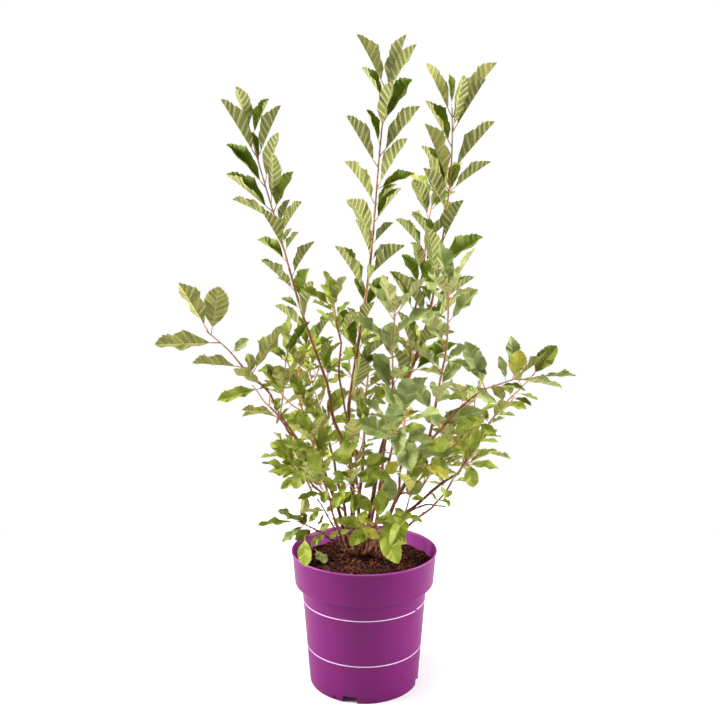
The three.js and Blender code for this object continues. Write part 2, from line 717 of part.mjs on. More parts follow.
// The point of a line through points that is nearest to p.
function nearestOn(points, p) {
  let best = points[0];
  for (let i = 1; i < points.length; i++) {
    const q = new THREE.Line3(points[i - 1], points[i]).closestPointToPoint(p, true, vector([0, 0, 0]));
    if (q.distanceTo(p) < best.distanceTo(p)) best = q;
  }
  return best;
}

// A leaf's blade with its stalk: folded along the midrib, widest past the middle, pointed at both
// ends, its foot in the middle of the stem.
function blade(leaf, foot) {
  const middle = leafPoint(leaf, LEAF_WIDEST);
  const ring = [
    leafPoint(leaf, LEAF_WIDEST, -1, 1),
    along(middle, leaf.n, LEAF_THICKNESS / 2),
    leafPoint(leaf, LEAF_WIDEST, 1, 1),
    along(middle, leaf.n, -LEAF_THICKNESS / 2),
  ];
  const places = [foot, ...ring, leafPoint(leaf, 1)];
  const index = ring.flatMap((_, i) => {
    const [a, b] = [1 + i, 1 + ((i + 1) % 4)];
    return [0, b, a, a, b, 5];
  });
  return solid(new THREE.BufferGeometry().setFromPoints(places).setIndex(index));
}

// A bough with the collars of its side boughs.
function makeBough({ spec, bough, way, endWay, collars }) {
  const count = max(3, Math.round(bough.length / RING_STEP));
  const sides = spec.radii[0] > SIX_SIDED_RADIUS ? 6 : 5;
  const bodies = [tube(bough.points(count), steps(...spec.radii, count), sides, way, endWay)];
  for (const collar of collars) {
    const top = along(collar.from, collar.way, collar.reach);
    const radii = [collar.radius * COLLAR_FLARE, collar.radius];
    bodies.push(tube([collar.from, top], radii, 5, collar.way, collar.way));
  }
  return join(bodies);
}

// The leafy part of a shoot: stem, side twigs and leaves in one body. A leaf or twig that would meet
// what already stands is left out.
function makeLeaves(shoot, room, standing) {
  const { leaves, twigs } = grow(shoot, room);
  const meets = (body) => standing.some((other) => !other.intersect(body).isEmpty());
  const { spec, stem, endWay } = shoot;
  const count = max(3, Math.round(stem.length / STEM_STEP));
  const radii = steps(spec.radii[1], TIP_RADIUS, count).map((r) => r * STEM_FULLNESS);
  const line = stem.points(count);
  const bodies = [tube(line, radii, 3, endWay)];
  const dropped = new Set();
  for (const twig of twigs) {
    const body = tube(twig.points(2), [TWIG_RADIUS, TWIG_RADIUS, TIP_RADIUS], 3);
    if (meets(body)) dropped.add(twig);
    else bodies.push(body);
  }
  for (const leaf of leaves) {
    if (dropped.has(leaf.twig)) continue;
    const body = blade(leaf, nearestOn(leaf.twig ? leaf.twig.points(2) : line, leaf.root));
    if (!meets(body)) bodies.push(body);
  }
  return join(bodies);
}

// The root crown: a flared foot, low roots, and one stub that carries each main stem.
function makeCrown(shoots) {
  const foot = vector([CROWN_X, CROWN_Y, SOIL_HEIGHT - CROWN_DEPTH]);
  const core = CROWN_SHAPE.map(([height]) => along(foot, UP, height));
  const bodies = [tube(core, CROWN_SHAPE.map(([, radius]) => radius), 8)];
  for (let i = 0; i < ROOT_COUNT; i++) {
    const way = aim([(i * 360) / ROOT_COUNT + 20, ROOT_SLOPE]);
    const from = along(foot, UP, 9);
    bodies.push(tube([from, along(from, way, ROOT_REACH)], ROOT_RADII, 5));
  }
  for (const { spec, bough, way } of shoots) {
    if (spec.parent) continue;
    const start = bough.at(0);
    const inside = foot.clone().lerp(start, STUB_INSET);
    inside.z = SOIL_HEIGHT + STUB_FOOT;
    const points = [inside, along(start, way, -STUB_NECK), along(start, way, -GAP)];
    bodies.push(tube(points, STUB_SHAPE.map((part) => part * spec.radii[0]), 6, null, way));
  }
  const below = solid(block(200, 200, 40, CROWN_X, CROWN_Y, SOIL_HEIGHT + GAP - 20));
  return join(bodies).subtract(below);
}

// Materials.
const material = (color, roughness) => new THREE.MeshStandardMaterial({ color, roughness, metalness: 0 });
const wood = material(0x5f3e30, 0.85);
const youngWood = material(0xa8693f, 0.7);
const foliage = material(0x7f9a4c, 0.55);
const plastic = material(0x8a3280, 0.42);
const earth = material(0x4a2418, 0.95);

const plant = new THREE.Group();
function place(name, body, look) {
  const mesh = new THREE.Mesh(geometryOf(body), look);
  mesh.name = name;
  plant.add(mesh);
}

const shoots = layOut();
const room = new Room();
for (const { spec, bough, stem, index } of shoots) {
  room.addLimb(bough, spec.radii, -1);
  if (stem) room.addLimb(stem, [spec.radii[1], TIP_RADIUS], index);
}
place("pot", makePot(), plastic);
place("soil", makeSoil(), earth);
const standing = [makeCrown(shoots)];
place("root_crown", standing[0], wood);
for (const shoot of shoots) {
  const body = makeBough(shoot);
  standing.push(body);
  const old = !shoot.stem || shoot.spec.radii[0] > OLD_WOOD_RADIUS;
  place(shoot.spec.name + "_bough", body, old ? wood : youngWood);
}
for (const shoot of shoots) {
  if (!shoot.stem) continue;
  const body = makeLeaves(shoot, room, standing);
  standing.push(body);
  place(shoot.spec.name + "_leaves", body, foliage);
}
export default plant;
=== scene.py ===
"""A young pearlbush in its nursery pot.

Blender units are metres. The growth rule works in millimetres and its meshes are scaled when made.
"""
import json
import math

import bmesh
import bpy
import numpy as np
from mathutils import Euler, Matrix, Vector, noise

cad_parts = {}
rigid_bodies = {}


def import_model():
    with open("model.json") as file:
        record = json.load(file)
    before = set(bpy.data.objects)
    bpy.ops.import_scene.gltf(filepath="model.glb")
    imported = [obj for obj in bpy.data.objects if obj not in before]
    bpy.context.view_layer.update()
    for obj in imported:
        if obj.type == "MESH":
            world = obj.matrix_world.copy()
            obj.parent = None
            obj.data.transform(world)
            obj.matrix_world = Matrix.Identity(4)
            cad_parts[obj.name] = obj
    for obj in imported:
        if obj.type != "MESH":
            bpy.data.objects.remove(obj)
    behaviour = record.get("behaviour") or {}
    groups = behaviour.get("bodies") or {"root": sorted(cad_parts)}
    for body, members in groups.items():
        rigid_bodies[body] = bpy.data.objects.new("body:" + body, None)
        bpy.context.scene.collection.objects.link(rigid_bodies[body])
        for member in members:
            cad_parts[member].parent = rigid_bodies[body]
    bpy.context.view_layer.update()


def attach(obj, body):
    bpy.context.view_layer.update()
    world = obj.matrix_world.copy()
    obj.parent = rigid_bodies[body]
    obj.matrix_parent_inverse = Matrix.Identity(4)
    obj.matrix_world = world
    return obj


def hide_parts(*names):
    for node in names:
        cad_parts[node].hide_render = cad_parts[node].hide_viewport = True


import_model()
MM = 0.001

# Pot and soil, as in the part's source. Millimetres.
RIM_RADIUS = 115
RIM_HEIGHT = 213
COLLAR_HEIGHT = 161
COLLAR_RADIUS = 109.6
COLLAR_TOP = RIM_HEIGHT - 4
COLLAR_TOP_RADIUS = RIM_RADIUS - 1.6
BODY_TOP_RADIUS = 99.3
FOOT_RADIUS = 86.3
FLOOR_HEIGHT = 12
WALL = 2
SOIL_HEIGHT = 188
CROWN = (-3, 27)

# Growth, as in the part's source. Lengths are in millimetres and angles in degrees.
GAP = 0.3
GOLDEN_ANGLE = 137.5
BEND = 0.45
BOUGH_SWAY = 2.5
STEM_SWAY = 2
FULL_SWAY_LENGTH = 140
SWAY_WAVES = (9, 7)
BOUGH_TURN = 1.7
STEM_TURN = 2.3
SIDE_FOOT_ROOM = 1.8
LEAF_WIDTH = 0.47
LEAF_FOLD = 36
LEAF_WIDEST = 0.58
LEAF_FOOT = 0.2
FACE_PULL = 0.6
LIMB_PARTS = 8
FIRST_LEAF = 14
LAST_LEAF = 6
LAST_TWIG = 0.86
TWIG_SAMPLES = (0.3, 0.5, 0.75, 1)
TWIG_LIFT = 0.15
TWIG_OUT = 0.75
TWIG_UP = 0.45
LEAF_TURNS = (0, 50, -50, 100)
LEAF_LIFT = 0.12
TIP_SPREADS = (24, 32, 40)
TIP_CURL = 0.05

# What the random draws range over: a least value and how much more, or a width with its middle at 0
LEAF_SIZES = (0.82, 0.3)
LEAF_CURLS = (0.04, 0.16)
TIP_SIZES = (0.95, 0.15)
TWIG_SIZES = (0.7, 0.6)
GAP_SIZES = (0.82, 0.36)
AZIMUTH_WIDTH = 30
SPREAD_WIDTH = 18
ROLL_WIDTH = 90

# What a leaf keeps clear of: leaves of other shoots and of its own, limbs, its own stem, the soil
# inside the pot, and the rim with a band to either side
CLEAR_OTHER = 6
CLEAR_SAME = 4.5
CLEAR_LIMB = 3
CLEAR_STEM = 2
CLEAR_SOIL = 8
SOIL_MARGIN = 3
CLEAR_RIM = 7
RIM_BAND = (12, 8)
CROSS_MARGIN = 0.02
NEIGHBOUR_REACH = 0.6

# The finer leaves of this script
SMALL_TURNS = (0, 70, -70, 140, 210)
SMALL_CURL = 0.08
SMALL_SIZES = (0.38, 0.3)
SMALL_LIFTS = (0.2, -0.4)
SMALL_ROLL_WIDTH = 60
SMALL_GAP = 24
SAGE_SMALL_GAP = 36
TIP_EASE = 0.3
AXIL_EASE = 0.7

# Every shoot: where its bough leaves the root crown or a parent bough, its tip, its radii, the
# leafy stem, the gaps between leaves, their length and spread, side twigs, droop and seed.
SHOOTS = [
    dict(name="centre", foot=(-14, 24, 208), start=(-166, 84), end=(-24, 12, 440), radii=(4.4, 2.7),
         stem=((-20, 80), (31, -30, 918)), gaps=(38, 17), leaf=82, spread=40, tone="sage", seed=27),
    dict(name="right", foot=(4, 32, 212), start=(0, 86), end=(58, 30, 455), radii=(4.2, 2.6),
         stem=((2, 66), (136, 50, 900)), gaps=(24, 17), leaf=86, spread=44, tone="sage", seed=12),
    dict(name="right_mid", foot=(17, 16, 211), start=(-31, 62), end=(100, -25, 400), radii=(3.8, 2.2),
         stem=((-25, 76), (121, -75, 622)), gaps=(24, 17), leaf=72, spread=50, tone="blue", seed=20),
    dict(name="orange", foot=(6, 8, 208), start=(-60, 74), end=(34, -50, 410), radii=(2.6, 1.9),
         stem=((-57, 80), (43, -85, 591)), gaps=(26, 18), leaf=70, spread=50, tone="blue", seed=12),
    dict(name="left_mid", foot=(-27, 30, 206), start=(164, 74), end=(-72, 35, 359), radii=(3.2, 2.1),
         stem=((164, 68), (-126, 62, 508)), gaps=(15, 12), leaf=68, spread=58, twig=(2, 45), droop=0.5,
         tone="olive", seed=29),
    dict(name="right_low", foot=(24, 30, 206), start=(9, 58), end=(151, 30, 325), radii=(3.0, 1.9),
         stem=((11, 62), (277, 60, 484)), gaps=(19, 13), leaf=70, spread=52, twig=(3, 42), droop=0.5,
         tone="olive", seed=34),
    dict(name="lower_right", foot=(24, 2, 203), start=(-31, 48), end=(104, -30, 287), radii=(2.2, 1.6),
         stem=((-22, 54), (154, -60, 369)), gaps=(26, 12), leaf=50, spread=55, droop=0.5,
         tone="fresh", seed=34),
    dict(name="front_left", foot=(-24, 6, 202), start=(-127, 50), end=(-52, -40, 301), radii=(2.4, 1.6),
         stem=((-129, 70), (-78, -80, 404)), gaps=(18, 13), leaf=56, spread=55, twig=(3, 36), droop=0.5,
         tone="olive", seed=15),
    dict(name="left_low", foot=(-30, 18, 204), start=(-152, 42), end=(-70, 4, 238), radii=(2.2, 1.5),
         stem=((-160, 28), (-102, -12, 259)), gaps=(12, 10), leaf=52, spread=60, twig=(2, 30), droop=0.5,
         tone="olive", seed=33),
    dict(name="front_low", foot=(-8, 4, 203), start=(-76, 48), end=(6, -20, 245), radii=(2.0, 1.5),
         stem=((-64, 42), (19, -60, 277)), gaps=(11, 10), leaf=58, spread=62, droop=0.5,
         tone="fresh", seed=24),
    dict(name="centre_rear", foot=(-6, 46, 208), start=(100, 73), end=(2, 80, 391), radii=(3.2, 2.0),
         stem=((79, 68), (5, 135, 520)), gaps=(15, 12), leaf=64, spread=58, twig=(3, 46), droop=0.5,
         tone="olive", seed=25),
    dict(name="rear_left", foot=(-22, 48, 205), start=(125, 66), end=(-50, 95, 330), radii=(3.0, 1.9),
         stem=((125, 62), (-95, 150, 480)), gaps=(16, 12), leaf=64, spread=58, twig=(3, 46), droop=0.5,
         tone="olive", seed=9),
    dict(name="rear_right", foot=(12, 48, 207), start=(60, 68), end=(45, 100, 340), radii=(3.0, 1.9),
         stem=((60, 66), (95, 175, 505)), gaps=(16, 12), leaf=64, spread=58, twig=(3, 46), droop=0.5,
         tone="olive", seed=10),
    dict(name="left_tall", parent="centre", along=0.66, start=(178, 66), end=(-58, 14, 474),
         radii=(2.6, 2.2), stem=((172, 70), (-181, 60, 876)), gaps=(28, 15), leaf=76, spread=42,
         tone="sage", seed=7),
    dict(name="right_rear", parent="right", along=0.73, start=(39, 60), end=(79, 60, 570),
         radii=(2.3, 1.8), stem=((44, 75), (116, 120, 781)), gaps=(22, 17), leaf=70, spread=46,
         tone="sage", seed=27),
    dict(name="front_big", parent="right_mid", along=0.38, start=(-77, 48), end=(56, -60, 369),
         radii=(2.0, 1.6), stem=((-86, 70), (57, -110, 446)), gaps=(17, 13), leaf=78, spread=60, droop=0.5,
         tone="blue", seed=29),
    dict(name="right_arch", parent="right_mid", along=0.9, start=(-20, 50), end=(133, -40, 434),
         radii=(2.1, 1.7), stem=((-8, 50), (221, -60, 491)), gaps=(16, 12), leaf=62, spread=55,
         twig=(3, 36), droop=0.5, tone="olive", seed=18),
    dict(name="right_twig", parent="right_mid", along=0.62, start=(45, 20), end=(120, 10, 352),
         radii=(1.8, 1.5), stem=((18, 43), (166, 40, 389)), gaps=(15, 12), leaf=58, spread=58,
         twig=(2, 34), droop=0.5, tone="fresh", seed=36),
    dict(name="left_long", parent="left_mid", along=0.9, start=(-158, 38), end=(-145, 0, 458),
         radii=(2.1, 1.7), stem=((-165, 50), (-235, -40, 560)), gaps=(22, 15), leaf=80, spread=52,
         twig=(2, 34), tone="sage", seed=1),
    dict(name="left_out", parent="left_mid", along=0.5, start=(-160, 30), end=(-88, 10, 322),
         radii=(1.8, 1.5), stem=((-160, 30), (-106, -12, 346)), gaps=(12, 11), leaf=60, spread=60,
         twig=(2, 34), droop=0.5, tone="olive", seed=15),
    dict(name="left_thin", parent="left_long", along=0.35, start=(-118, 35), end=(-124, -20, 417),
         radii=(1.6, 1.4), stem=((-136, 49), (-164, -70, 483)), gaps=(14, 12), leaf=58, spread=56,
         twig=(2, 32), droop=0.5, tone="olive", seed=5),
    dict(name="centre_front", parent="orange", along=0.3, start=(-120, 50), end=(-5, -62, 310),
         radii=(1.8, 1.5), stem=((-120, 66), (-15, -85, 395)), gaps=(14, 12), leaf=60, spread=58,
         twig=(2, 36), droop=0.5, tone="olive", seed=12),
    dict(name="front_right", parent="right_mid", along=0.2, start=(-55, 30), end=(52, -40, 268),
         radii=(1.8, 1.5), stem=((-60, 45), (72, -66, 330)), gaps=(12, 10), leaf=60, spread=66, droop=0.7,
         tone="fresh", seed=26),
    dict(name="centre_side", parent="centre", along=0.9, start=(-120, 60), end=(-35, -22, 540),
         radii=(1.7, 1.4), stem=((-119, 65), (-45, -55, 600)), gaps=(12, 10), leaf=60, spread=52,
         tone="olive", seed=5),
    dict(name="rear_low_left", parent="rear_left", along=0.4, start=(160, 35), end=(-88, 102, 275),
         radii=(1.9, 1.5), stem=((140, 58), (-125, 135, 350)), gaps=(13, 11), leaf=58, spread=60,
         twig=(2, 36), droop=0.5, tone="olive", seed=17),
    dict(name="rear_low_right", parent="rear_right", along=0.4, start=(20, 35), end=(92, 98, 275),
         radii=(1.9, 1.5), stem=((30, 48), (150, 130, 340)), gaps=(13, 11), leaf=58, spread=60,
         twig=(2, 36), droop=0.5, tone="olive", seed=12),
    dict(name="bare_right", parent="right_low", along=0.4, start=(-22, 32), end=(128, 5, 278),
         radii=(1.4, 0.8)),
    dict(name="bare_left", parent="left_low", along=0.35, start=(-112, 66), end=(-73, -20, 298),
         radii=(1.4, 0.8)),
]


def seeded(seed):
    """Random numbers from 0 to 1, the same each time for the same seed."""
    state = [seed]

    def draw():
        state[0] = (state[0] * 1664525 + 1013904223) & 0xFFFFFFFF
        return state[0] / 4294967296

    for _ in range(4):
        draw()
    return draw


def ranging(draw, least, more):
    """A random number from least up to that much more."""
    return least + more * draw()


def around(draw, width):
    """A random number in a range of this width with its middle at 0."""
    return (draw() - 0.5) * width


def unit(v):
    return v / math.sqrt(float(v @ v))


def aim(heading, slope):
    h, s = math.radians(heading), math.radians(slope)
    return np.array([math.cos(s) * math.cos(h), math.cos(s) * math.sin(h), math.sin(s)])


def across(t):
    """Two directions square to t and to each other."""
    away = np.array([0, 0, 1.0]) if abs(t[2]) < 0.8 else np.array([1.0, 0, 0])
    u = unit(np.cross(t, away))
    return u, np.cross(t, u)


UP = np.array([0, 0, 1.0])


class Path:
    """A limb's centre line: one bend and a slight sway from side to side."""

    def __init__(self, foot, start, end, sway=0, turn=0):
        self.foot = np.asarray(foot, float)
        self.end = np.asarray(end, float)
        self.length = float(np.linalg.norm(self.end - self.foot))
        self.knee = self.foot + np.asarray(start) * self.length * BEND
        self.u, self.v = across(unit(self.end - self.foot))
        self.sway = sway * min(1, self.length / FULL_SWAY_LENGTH)
        self.turn = turn

    def at(self, t):
        """The place at a part of the length, from 0 at the foot to 1 at the end."""
        curve = self.foot * (1 - t) ** 2 + self.knee * 2 * t * (1 - t) + self.end * t * t
        sway = self.sway * math.sin(math.pi * t)
        aside = self.u * sway * math.sin(SWAY_WAVES[0] * t + self.turn)
        return curve + aside + self.v * sway * math.cos(SWAY_WAVES[1] * t + self.turn)

    def heading(self, t):
        return unit(self.at(min(t + 0.01, 1)) - self.at(max(t - 0.01, 0)))

    def points(self, count):
        return [self.at(i / count) for i in range(count + 1)]


def lay_out():
    """The paths of every shoot's bough and stem."""
    shoots = {}
    for i, spec in enumerate(SHOOTS):
        way = aim(*spec["start"])
        shoot = dict(spec, index=i, way=way)
        if "parent" in spec:
            parent = shoots[spec["parent"]]
            origin = parent["bough"].at(spec["along"])
            thick, thin = parent["radii"]
            radius = thick + (thin - thick) * spec["along"]
            lean = float(parent["bough"].heading(spec["along"]) @ way)
            reach = (radius + spec["radii"][0] * abs(lean) + SIDE_FOOT_ROOM) / math.sqrt(1 - lean * lean)
            shoot["origin"] = origin
            foot = origin + way * (reach + GAP)
        else:
            foot = np.array(spec["foot"], float)
        shoot["bough"] = Path(foot, way, spec["end"], BOUGH_SWAY, i * BOUGH_TURN)
        if "stem" in spec:
            begin = shoot["bough"].end + shoot["bough"].heading(1) * GAP
            (heading, slope), tip = spec["stem"]
            shoot["path"] = Path(begin, aim(heading, slope), tip, STEM_SWAY, i * STEM_TURN)
        shoots[spec["name"]] = shoot
    return list(shoots.values())


def leaf_at(root, way, azimuth, spread, lift, length, curl, roll):
    """A leaf on a stem that heads along way: its own direction, the way its face looks, and its side."""
    u, v = across(way)
    a, s, r = math.radians(azimuth), math.radians(spread), math.radians(roll)
    d = way * math.cos(s) + (u * math.cos(a) + v * math.sin(a)) * math.sin(s)
    d = unit(d + UP * lift)
    face = way * FACE_PULL + UP * FACE_PULL
    face = face - d * float(face @ d)
    if float(face @ face) < 0.02:
        face = v - d * float(v @ d)
    face = unit(face)
    wide = np.cross(d, face)
    n = face * math.cos(r) + wide * math.sin(r)
    w = wide * math.cos(r) - face * math.sin(r)
    return dict(root=root, d=d, n=n, w=w, length=length, curl=curl)


def leaf_point(leaf, s, side=0, part=0):
    """A place on a leaf: this far along it, and out to one side by a part of its half width."""
    length = leaf["length"]
    half = part * length * LEAF_WIDTH / 2
    fold = math.radians(LEAF_FOLD)
    p = leaf["root"] + leaf["d"] * (length * s) - leaf["n"] * (leaf["curl"] * length * s * s)
    if side:
        p = p + leaf["w"] * (side * half * math.cos(fold)) + leaf["n"] * (half * math.sin(fold))
    return p


MIDRIB_STATIONS = (0.3, 0.45, 0.6, 0.75, 0.9, 1)
WING_STATIONS = ((0.45, 0.7), (0.6, 1), (0.8, 0.5), (0.6, 0.5))


def leaf_samples(leaf):
    """The places on a leaf that are tried for room."""
    points = [leaf_point(leaf, s) for s in MIDRIB_STATIONS]
    for s, part in WING_STATIONS:
        points += [leaf_point(leaf, s, 1, part), leaf_point(leaf, s, -1, part)]
    return np.array(points)


def wings_of(leaf):
    """A leaf's two wings as four triangles, and the lines that bound them."""
    foot, middle, tip = (leaf_point(leaf, s) for s in (LEAF_FOOT, LEAF_WIDEST, 1))
    left, right = (leaf_point(leaf, LEAF_WIDEST, side, 1) for side in (-1, 1))
    faces = np.array([[foot, left, middle], [left, tip, middle], [foot, middle, right], [middle, tip, right]])
    lines = [[foot, left], [left, tip], [tip, right], [right, foot], [foot, middle], [middle, tip]]
    return faces, np.array(lines), middle


def meet(lines, faces):
    """Whether any line meets any face, or passes it very closely."""
    start = lines[:, None, 0]
    way = lines[:, None, 1] - start
    a = faces[None, :, 0]
    e = faces[None, :, 1] - a
    f = faces[None, :, 2] - a
    p = np.cross(way, f)
    scale = (e * p).sum(-1)
    scale = np.where(np.abs(scale) < 1e-9, 1e9, scale)
    out = start - a
    q = np.cross(out, e)
    u = (out * p).sum(-1) / scale
    v = (way * q).sum(-1) / scale
    t = (f * q).sum(-1) / scale
    low, high = -CROSS_MARGIN, 1 + CROSS_MARGIN
    return bool(((u > low) & (v > low) & (u + v < high) & (t > low) & (t < high)).any())


class Room:
    """The room that limbs and leaves already take."""

    MOST = 30000

    def __init__(self, shoots):
        starts, ends, radii, owners = [], [], [], []
        for shoot in shoots:
            for key, owner, (r0, r1) in (("bough", -1, shoot["radii"]),
                                         ("path", shoot["index"], (shoot["radii"][1], 1))):
                if key not in shoot:
                    continue
                points = shoot[key].points(LIMB_PARTS)
                starts += points[:-1]
                ends += points[1:]
                radii += [r0 + (r1 - r0) * i / LIMB_PARTS for i in range(LIMB_PARTS)]
                owners += [owner] * LIMB_PARTS
        self.starts, self.ways = np.array(starts), np.array(ends) - np.array(starts)
        self.radii, self.owners = np.array(radii), np.array(owners)
        self.points = np.zeros((self.MOST, 3))
        self.point_owners = np.zeros(self.MOST, int)
        self.count = 0
        self.wings = []

    def add_points(self, points, owner):
        end = self.count + len(points)
        self.points[self.count:end] = points
        self.point_owners[self.count:end] = owner
        self.count = end

    def add_leaf(self, leaf, owner):
        self.add_points(leaf_samples(leaf), owner)
        self.wings.append((*wings_of(leaf), leaf["length"]))

    def is_crossed(self, leaf):
        """Whether a leaf meets any leaf near it."""
        faces, lines, middle = wings_of(leaf)
        near = [w for w in self.wings
                if np.linalg.norm(w[2] - middle) < NEIGHBOUR_REACH * (w[3] + leaf["length"])]
        if not near:
            return False
        near_faces = np.concatenate([w[0] for w in near])
        near_lines = np.concatenate([w[1] for w in near])
        return meet(lines, near_faces) or meet(near_lines, faces)

    def place_leaf(self, leaves, owner, turns, ease, limb, t, azimuth, *pose):
        """Adds a leaf to a limb, at this part of its length, in the first of these turns that has room."""
        for change in turns:
            leaf = leaf_at(limb.at(t), limb.heading(t), azimuth + change, *pose)
            if self.is_free(leaf_samples(leaf), owner, ease) and not self.is_crossed(leaf):
                self.add_leaf(leaf, owner)
                leaves.append(leaf)
                return

    def is_free(self, points, owner, ease=1.0):
        """Whether points keep clear of the pot and of all that is there."""
        out = np.hypot(points[:, 0], points[:, 1])
        z = points[:, 2]
        if np.any((z < SOIL_HEIGHT + CLEAR_SOIL) & (out < RIM_RADIUS - SOIL_MARGIN)):
            return False
        at_rim = (out > RIM_RADIUS - RIM_BAND[0]) & (out < RIM_RADIUS + RIM_BAND[1])
        if np.any((z < RIM_HEIGHT + CLEAR_RIM) & at_rim):
            return False
        offset = points[:, None] - self.starts[None]
        t = np.clip((offset * self.ways).sum(2) / (self.ways ** 2).sum(1), 0, 1)
        distance = np.linalg.norm(offset - self.ways * t[..., None], axis=2) - self.radii
        own = self.owners == owner
        if np.any(distance[:, ~own] < CLEAR_LIMB * ease):
            return False
        if own.any() and np.any(distance[1:, own] < CLEAR_STEM * ease):
            return False
        if not self.count:
            return True
        others = self.points[:self.count]
        own = self.point_owners[:self.count] == owner
        apart = np.linalg.norm(points[:, None] - others[None], axis=2)
        near = apart < np.where(own, CLEAR_SAME, CLEAR_OTHER) * ease
        near[0, own] = False
        return not near.any()


def grow(shoot, room):
    """The leaves and side twigs of one shoot, by the seeded rule."""
    stem, owner = shoot["path"], shoot["index"]
    draw = seeded(shoot["seed"])
    turn = draw() * 360
    gap_foot, gap_tip = shoot["gaps"]
    every, twig_length = shoot.get("twig", (0, 0))
    droop = shoot.get("droop", 0)
    leaves, twigs = [], []

    def try_leaf(limb, t, azimuth, *pose):
        room.place_leaf(leaves, owner, LEAF_TURNS, 1.0, limb, t, azimuth, *pose)

    s, k = FIRST_LEAF, 0
    while s < stem.length - LAST_LEAF:
        t = s / stem.length
        place, way = stem.at(t), stem.heading(t)
        azimuth = turn + k * GOLDEN_ANGLE + around(draw, AZIMUTH_WIDTH)
        size = shoot["leaf"] * ranging(draw, *LEAF_SIZES)
        spread = shoot["spread"] + around(draw, SPREAD_WIDTH)
        curl = ranging(draw, *LEAF_CURLS)
        reach = twig_length * ranging(draw, *TWIG_SIZES)
        roll = around(draw, ROLL_WIDTH)
        lift = ranging(draw, LEAF_LIFT, -droop)
        twig = None
        if every and k % every == 0 and t < LAST_TWIG:
            out = leaf_at(place, way, azimuth, spread, TWIG_LIFT, 1, 0, 0)["d"]
            twig = Path(place, out, place + out * reach * TWIG_OUT + UP * reach * TWIG_UP)
            points = np.array([twig.at(q) for q in TWIG_SAMPLES])
            if room.is_free(points, owner):
                room.add_points(points[1:], owner)
            else:
                twig = None
        if twig:
            twigs.append(twig)
            # Three leaves along the twig, then two at its end
            for m in range(3):
                try_leaf(twig, 0.42 + 0.27 * m, turn + m * GOLDEN_ANGLE + k * 40, spread + 4, lift,
                         size * (0.7 + 0.1 * m), curl, roll * (1 - m))
            for m in range(2):
                try_leaf(twig, 0.95 - 0.12 * m, turn + 180 * m + k * 70, 24 + 14 * m, lift * 0.5,
                         size * 0.85, curl * 0.6, roll)
        else:
            try_leaf(stem, t, azimuth, spread, lift, size, curl, roll)
        s += (gap_foot + (gap_tip - gap_foot) * t) * ranging(draw, *GAP_SIZES)
        k += 1
    for m, spread in enumerate(TIP_SPREADS):
        length = shoot["leaf"] * ranging(draw, *TIP_SIZES)
        try_leaf(stem, 1 - (2 + 5 * m) / stem.length, turn + 120 * m, spread, 0, length, TIP_CURL, 0)
    return leaves, twigs


def grow_finer(shoot, room):
    """The rule carried further: young leaves at the tips and small ones in the axils."""
    draw = seeded(shoot["seed"] + 1000)
    stem, owner = shoot["path"], shoot["index"]
    small = []

    def try_small(limb, t, ease, azimuth, spread, lift, size, roll=0):
        pose = (azimuth, spread, lift, size, SMALL_CURL, roll)
        room.place_leaf(small, owner, SMALL_TURNS, ease, limb, t, *pose)

    for tip in [stem] + shoot["twigs"]:
        for m in range(3):
            size = shoot["leaf"] * (0.3 + 0.12 * m)
            try_small(tip, 1 - (1 + 1.5 * m) / tip.length, TIP_EASE, draw() * 360, 10 + 8 * m, 0, size)
    count = int(stem.length / (SAGE_SMALL_GAP if shoot["tone"] == "sage" else SMALL_GAP))
    for k in range(count):
        t = 0.06 + 0.88 * (k + draw()) / count
        size = shoot["leaf"] * ranging(draw, *SMALL_SIZES)
        spread = shoot["spread"] + 10 * draw()
        try_small(stem, t, AXIL_EASE, draw() * 360, spread, ranging(draw, *SMALL_LIFTS), size,
                  around(draw, SMALL_ROLL_WIDTH))
    return small


def colour(text):
    """A colour written as red, green and blue in hexadecimal, as linear light."""
    values = [int(text[i:i + 2], 16) / 255 for i in (1, 3, 5)]
    return [v / 12.92 if v <= 0.04045 else ((v + 0.055) / 1.055) ** 2.4 for v in values] + [1]


# Node helpers

def add(tree, kind, values=None, **settings):
    """A node with its settings, and its sockets linked or set."""
    node = tree.nodes.new(kind)
    for name, value in settings.items():
        setattr(node, name, value)
    for key, value in (values or {}).items():
        if isinstance(value, bpy.types.NodeSocket):
            tree.links.new(value, node.inputs[key])
        else:
            node.inputs[key].default_value = value
    return node


def figure(tree, operation, *values):
    """One step of arithmetic on numbers."""
    return add(tree, "ShaderNodeMath", dict(enumerate(values)), operation=operation).outputs[0]


def vector_figure(tree, operation, first, second):
    """One step of arithmetic on vectors. To scale, the second value is a number."""
    key = "Scale" if operation == "SCALE" else 1
    return add(tree, "ShaderNodeVectorMath", {0: first, key: second}, operation=operation).outputs[0]


def stored(tree, name, kind="FLOAT"):
    """An attribute of the geometry, by its name."""
    return add(tree, "GeometryNodeInputNamedAttribute", {"Name": name}, data_type=kind).outputs[0]


def smoothed(tree, geometry):
    return add(tree, "GeometryNodeSetShadeSmooth", {"Geometry": geometry, "Shade Smooth": True}).outputs[0]


def clad(tree, geometry, material, selection=True):
    """The geometry with all its faces, or those selected, in a material."""
    values = {"Geometry": geometry, "Selection": selection, "Material": material}
    return add(tree, "GeometryNodeSetMaterial", values).outputs[0]


def scattered(tree, points, thing, **values):
    """A copy of a thing at every point, as real geometry."""
    source = add(tree, "GeometryNodeObjectInfo", {"Object": thing})
    values = {"Points": points, "Instance": source.outputs["Geometry"], **values}
    copies = add(tree, "GeometryNodeInstanceOnPoints", values)
    return add(tree, "GeometryNodeRealizeInstances", {"Geometry": copies.outputs[0]}).outputs[0]


